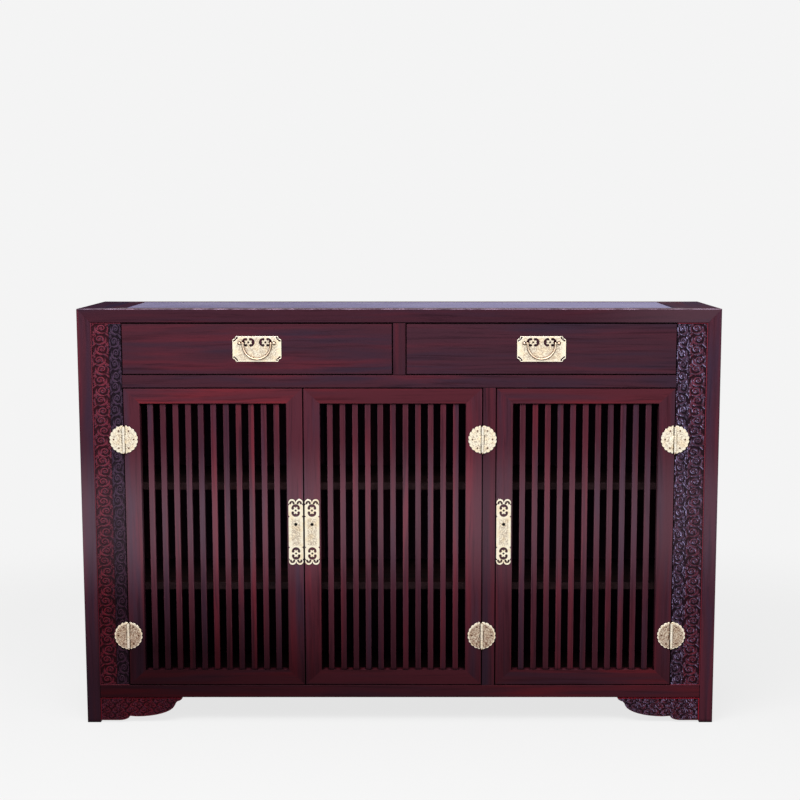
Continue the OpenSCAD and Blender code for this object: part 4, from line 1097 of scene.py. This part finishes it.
def lowerEdge(node):
    # the outline's lower edge: distance from the post along the rail, and how far it hangs under the rail
    points = [vert.co for vert in nodes[node].data.vertices]
    backY = max(co.y for co in points)
    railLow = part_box("bottom_rail_front")[0].z
    postX = abs(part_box("post_front_right")[0].x)
    edge = sorted({(round((postX - abs(co.x)) / mm, 3), round((railLow - co.z) / mm, 3)) for co in points
                   if co.y > backY - tiny and co.z < railLow - tiny})
    tip = max((postX - abs(co.x)) / mm for co in points if co.y > backY - tiny)
    return [(0.0, max(drop for along, drop in edge))] + edge + [(tip, 0.0)], railLow, postX


def makeBracket(node, side):
    look = bracketCarving
    edge, railLow, postX = lowerEdge(node)
    tip = edge[-1][0]
    alongs = [along for along, drop in edge]
    drops = [drop for along, drop in edge]
    columns = round(tip / look["step"])
    along = np.linspace(0, tip - look["tip"], columns + 1)
    drop = np.maximum(np.interp(along, alongs, drops), look["tip"])
    u = along[:, None] * np.ones((1, look["rows"] + 1))
    v = drop[:, None] * np.linspace(0, 1, look["rows"] + 1)[None, :]
    own = look["right" if side > 0 else "left"]
    clouds = cloudField(side * u, -v, *own["cell"], 0.5)
    rimGap = np.min([np.hypot(u - a, v - d) for a, d in zip(along, drop)], axis=0)
    clouds = np.where(rimGap < look["rim"], look["rimHeight"], clouds)
    edge = np.minimum(v - look["top"], u)  # a fine raised line under the rail and beside the post
    isLine = (edge < look["line"]) & (v > look["top"])
    relief = np.where(edge < look["line"] + look["gap"], 0.0, np.maximum(clouds, roeGround(u, v)))
    clouds = np.where(edge < look["line"] + look["gap"], 0.0, clouds)
    height = np.where(isLine, look["lineHeight"], relief)
    tone = np.where(isLine, own["border"], own["tone"])
    # painted highlight on the flanks of the clouds
    shine = litFlanks(clouds, u, v, -side, -1) * own["shine"]
    recess = front + look["recess"] * mm
    faceY = recess - look["proud"] * mm

    def place(i, j):
        j = look["rows"] - j
        y = faceY + look["depth"] * mm * (1 - height[i, j])
        values = (height[i, j], tone[i, j], shine[i, j])
        return side * (postX - u[i, j] * mm), y, railLow - v[i, j] * mm, values

    def isFace(co):
        return co.y < recess + look["margin"] * mm and co.z < railLow + tiny

    finishCarving(node, place, columns, look["rows"], isFace, front + look["board"] * mm)


makeCarvedStrip("carved_stile_left", -1)
makeCarvedStrip("carved_stile_right", 1)
makeBracket("bracket_left", -1)
makeBracket("bracket_right", 1)
print("carved strips and brackets built")


# doors, drawers and hardware

doorLook = {"frameEdge": 0.7, "slatEdge": 1.0}
drawerLook = {"frontEdge": 0.8, "boxEdge": 0.6}


def makeDoor(door):
    makeBoards(door + "_stiles", "rosewood", doorLook["frameEdge"])
    makeBoards(door + "_rails", "lowRosewood", doorLook["frameEdge"])
    makeBoards(door + "_slats", "rosewood", doorLook["slatEdge"])


def makeDrawer(drawer):
    finish = "duskRosewood" if drawer == "drawer_right" else "coolRosewood"
    makeBoards(drawer + "_front", finish, drawerLook["frontEdge"])
    makeBoards(drawer + "_box", "insideWood", drawerLook["boxEdge"])
    makeBoards(drawer + "_bottom", "insideWood", drawerLook["boxEdge"])


plateLook = {
    "edge": 0.35, "holeEdge": 0.9, "small": 15, "knuckle": 4.1, "joint": 5.4,  # mm
    "front": 0.99, "side": 0.2,  # of the normals beside a front edge
    "roundUp": 0.5, "roundFront": 0.1, "darkWest": 0.65, "darkEast": 0.9, "roundRub": 0.5,  # of a knuckle
}
plateKinds = {"hinge": 0, "lock": 1, "pull": 2}
noEngraving = -5.0


def isFrontEdge(edge):
    # a sharp edge between the front of a plate and a side
    if len(edge.link_faces) != 2 or not edge.is_convex:
        return False
    facing = sorted(face.normal.y for face in edge.link_faces)
    return facing[0] < -plateLook["front"] and abs(facing[1]) < plateLook["side"]


def frontRings(bm):
    # for each plate, its rings of front edges, shortest first: the last is the outline, the others are holes
    bm.normal_update()
    bm.edges.index_update()
    plates = []
    for board in boardsOf(bm):
        edges = {edge for face in board for edge in face.edges if isFrontEdge(edge)}
        used = set()
        rings = []
        for first in sorted(edges, key=lambda edge: edge.index):
            if first in used:
                continue
            used.add(first)
            ring = [first]
            for edge in ring:  # it grows while its neighbours are found
                for other in [other for vert in edge.verts for other in vert.link_edges]:
                    if other in edges and other not in used:
                        used.add(other)
                        ring.append(other)
            rings.append(ring)
        rings.sort(key=lambda ring: sum(edge.calc_length() for edge in ring))
        plates.append(rings)
    return plates


def plateHoles(bm):
    return [edge for rings in frontRings(bm) for ring in rings[:-1] for edge in ring]


def plateOutline(bm):
    return [edge for rings in frontRings(bm) for ring in rings[-1:] for edge in ring]


def pinPlaces():
    # middle of each hinge, from the pins
    bm = openCopy("hinge_pins")
    places = []
    for board in boardsOf(bm):
        low, high = spanOf(board)
        places.append(((low[0] + high[0]) / 2, (low[2] + high[2]) / 2))
    bm.free()
    return places


hingeMiddles = pinPlaces()


def markKnuckle(face, edgeLayer, pinX):
    # the round of a knuckle gets a painted highlight, with painted shade on its far left and far right sides
    # and in the joints beside it
    look = plateLook
    away = abs(face.calc_center_median().x - pinX) / mm
    x, y, z = face.normal
    if away < look["knuckle"] and abs(z) < look["roundUp"] and y < -look["roundFront"]:
        face[edgeLayer] = -1.0 if x < -look["darkWest"] or x > look["darkEast"] else look["roundRub"]
    elif look["knuckle"] <= away < look["joint"] and face[edgeLayer] > 0:
        face[edgeLayer] = -1.0


def makePlate(node, kind):
    # brass plate with its edges eased, painted shade round its holes and a rim of wear and painted highlight
    # along its outline; nails and bail posts on it are the small solids
    bm, edgeLayer = edgedCopy(node)
    roundEdges(bm, plateHoles(bm), edgeLayer, plateLook["holeEdge"] * mm, -1.0)
    roundEdges(bm, plateOutline(bm), edgeLayer, plateLook["edge"] * mm)
    spotLayers = [bm.verts.layers.float.new(name) for name in ("spotX", "spotZ", "spotKind")]
    bm.normal_update()
    for board in boardsOf(bm):
        low, high = spanOf(board)
        middle = ((low[0] + high[0]) / 2, (low[2] + high[2]) / 2)
        isSmall = high[0] - low[0] < plateLook["small"] * mm
        if kind == "hinge":
            middle = min(hingeMiddles, key=lambda m: abs(m[0] - middle[0]) + abs(m[1] - middle[1]))
        spotKind = noEngraving if isSmall else plateKinds[kind]
        for vert in {vert for face in board for vert in face.verts}:
            spot = ((vert.co.x - middle[0]) / mm, (vert.co.z - middle[1]) / mm, spotKind)
            for layer, value in zip(spotLayers, spot):
                vert[layer] = value
        for face in board:
            face.material_index = 1 if isSmall else 0
            if kind == "hinge" and not isSmall:
                markKnuckle(face, edgeLayer, middle[0])
    small = brasses["bailBrass" if kind == "pull" else "nailBrass"]
    finishPiece(node, "_brass", bm, [brasses["plateBrass"], small])


for doorName in ("door_left", "door_middle", "door_right"):
    makeDoor(doorName)
    makePlate(doorName + "_lock_plate", "lock")
    makePlate(doorName + "_hinge_leaves", "hinge")
for drawerName in ("drawer_left", "drawer_right"):
    makeDrawer(drawerName)
    makePlate(drawerName + "_pull_plate", "pull")
makePlate("hinge_leaves_fixed", "hinge")
print("doors, drawers and plates built")

slotMaterials = {"brass": brasses["bailBrass"], "steel": plainSteel, "carved_wood": carvedRosewood}
for node, part in nodes.items():  # bails, pins and fittings keep the CAD shape
    if slotOf[node] in slotMaterials:
        part.data.materials.clear()
        part.data.materials.append(slotMaterials[slotOf[node]])
print("bails, pins and fittings finished")


# stage, light and camera

stageLook = {
    "backdrop": 0.905, "ambient": 0.45, "floor": 0.11, "floorGlow": 0.76, "floorBounce": 0.15,
    "floorFade": (1.6, 2.8), "floorReach": 6,
}
cameraLook = {
    "place": (0.0602, -4.6454, 1.2756), "down": 8.508, "focalPixels": 1790.9,
    "centreX": 423.46, "centreY": 487.0, "picture": 800, "sensor": 36.0,
}
lampLook = {
    "key": {"at": (-0.5, -2.0, 2.5), "aim": (0, 0, 0.7), "size": (2.6, 1.2), "power": 80},
    "fill": {"at": (2.6, -3.2, 2.4), "aim": (0, 0, 0.7), "size": (2.0, 1.6), "power": 40},
}
sunLook = {"from": (-0.5, -0.9, 1.9), "angle": 50, "strength": 1.0}


def makeFloor():
    bm = bmesh.new()
    bmesh.ops.create_grid(bm, x_segments=1, y_segments=1, size=stageLook["floorReach"])
    mesh = bpy.data.meshes.new("floor")
    bm.to_mesh(mesh)
    bm.free()
    floor = addObject("floor", mesh)
    material, tree, shader = newMaterial("paleFloor")
    seen = seenDirectly(tree)
    bounce, pale = stageLook["floorBounce"], stageLook["floor"]
    level = plus(tree, times(tree, seen, pale - bounce), bounce)
    color = tree.nodes.new("ShaderNodeCombineColor")
    for channel in ("Red", "Green", "Blue"):
        feed(tree, color.inputs[channel], level)
    feed(tree, shader["Base Color"], color.outputs["Color"])
    feed(tree, shader["Emission Strength"], times(tree, seen, stageLook["floorGlow"]))
    shader["Emission Color"].default_value = (1.0, 1.0, 1.0, 1.0)
    shader["Roughness"].default_value = 1.0
    shader["Specular IOR Level"].default_value = 0.0
    away = tree.nodes.new("ShaderNodeVectorMath")
    away.operation = "LENGTH"
    feed(tree, away.inputs[0], objectPlace(tree))
    near, far = stageLook["floorFade"]
    feed(tree, shader["Alpha"], spread(tree, away.outputs["Value"], far, near))
    mesh.materials.append(material)


def seenDirectly(tree):
    path = tree.nodes.new("ShaderNodeLightPath").outputs
    seen = larger(tree, path["Is Camera Ray"], path["Is Glossy Ray"])
    return larger(tree, seen, path["Is Transmission Ray"])


def makeWorld():
    world = bpy.data.worlds.new("studio")
    bpy.context.scene.world = world
    world.use_nodes = True
    tree = world.node_tree
    seen = seenDirectly(tree)
    backdrop, ambient = stageLook["backdrop"], stageLook["ambient"]
    level = plus(tree, times(tree, seen, backdrop - ambient), ambient)
    background = tree.nodes["Background"]
    background.inputs["Color"].default_value = (1.0, 1.0, 1.0, 1.0)
    feed(tree, background.inputs["Strength"], level)


def makeLamp(name, look):
    light = bpy.data.lights.new(name, "AREA")
    light.shape = "RECTANGLE"
    light.size, light.size_y = look["size"]
    light.energy = look["power"]
    lamp = addObject(name, light)
    lamp.location = look["at"]
    aim = Vector(look["aim"]) - Vector(look["at"])
    lamp.rotation_euler = aim.to_track_quat("-Z", "Y").to_euler()


def makeSun():
    light = bpy.data.lights.new("sun", "SUN")
    light.energy = sunLook["strength"]
    light.angle = math.radians(sunLook["angle"])
    lamp = addObject("sun", light)
    lamp.rotation_euler = (-Vector(sunLook["from"])).to_track_quat("-Z", "Y").to_euler()


def makeCamera():
    look = cameraLook
    data = bpy.data.cameras.new("camera")
    data.sensor_width = look["sensor"]
    data.lens = look["focalPixels"] * look["sensor"] / look["picture"]
    data.shift_x = (look["picture"] / 2 - look["centreX"]) / look["picture"]
    data.shift_y = (look["centreY"] - look["picture"] / 2) / look["picture"]
    camera = addObject("camera", data)
    camera.location = look["place"]
    camera.rotation_euler = (math.radians(90 - look["down"]), 0, 0)
    bpy.context.scene.camera = camera


makeFloor()
makeWorld()
for lampName, lampSettings in lampLook.items():
    makeLamp(lampName, lampSettings)
makeSun()
makeCamera()
bpy.context.scene.view_settings.view_transform = "Standard"
print("stage, lamps and camera placed")
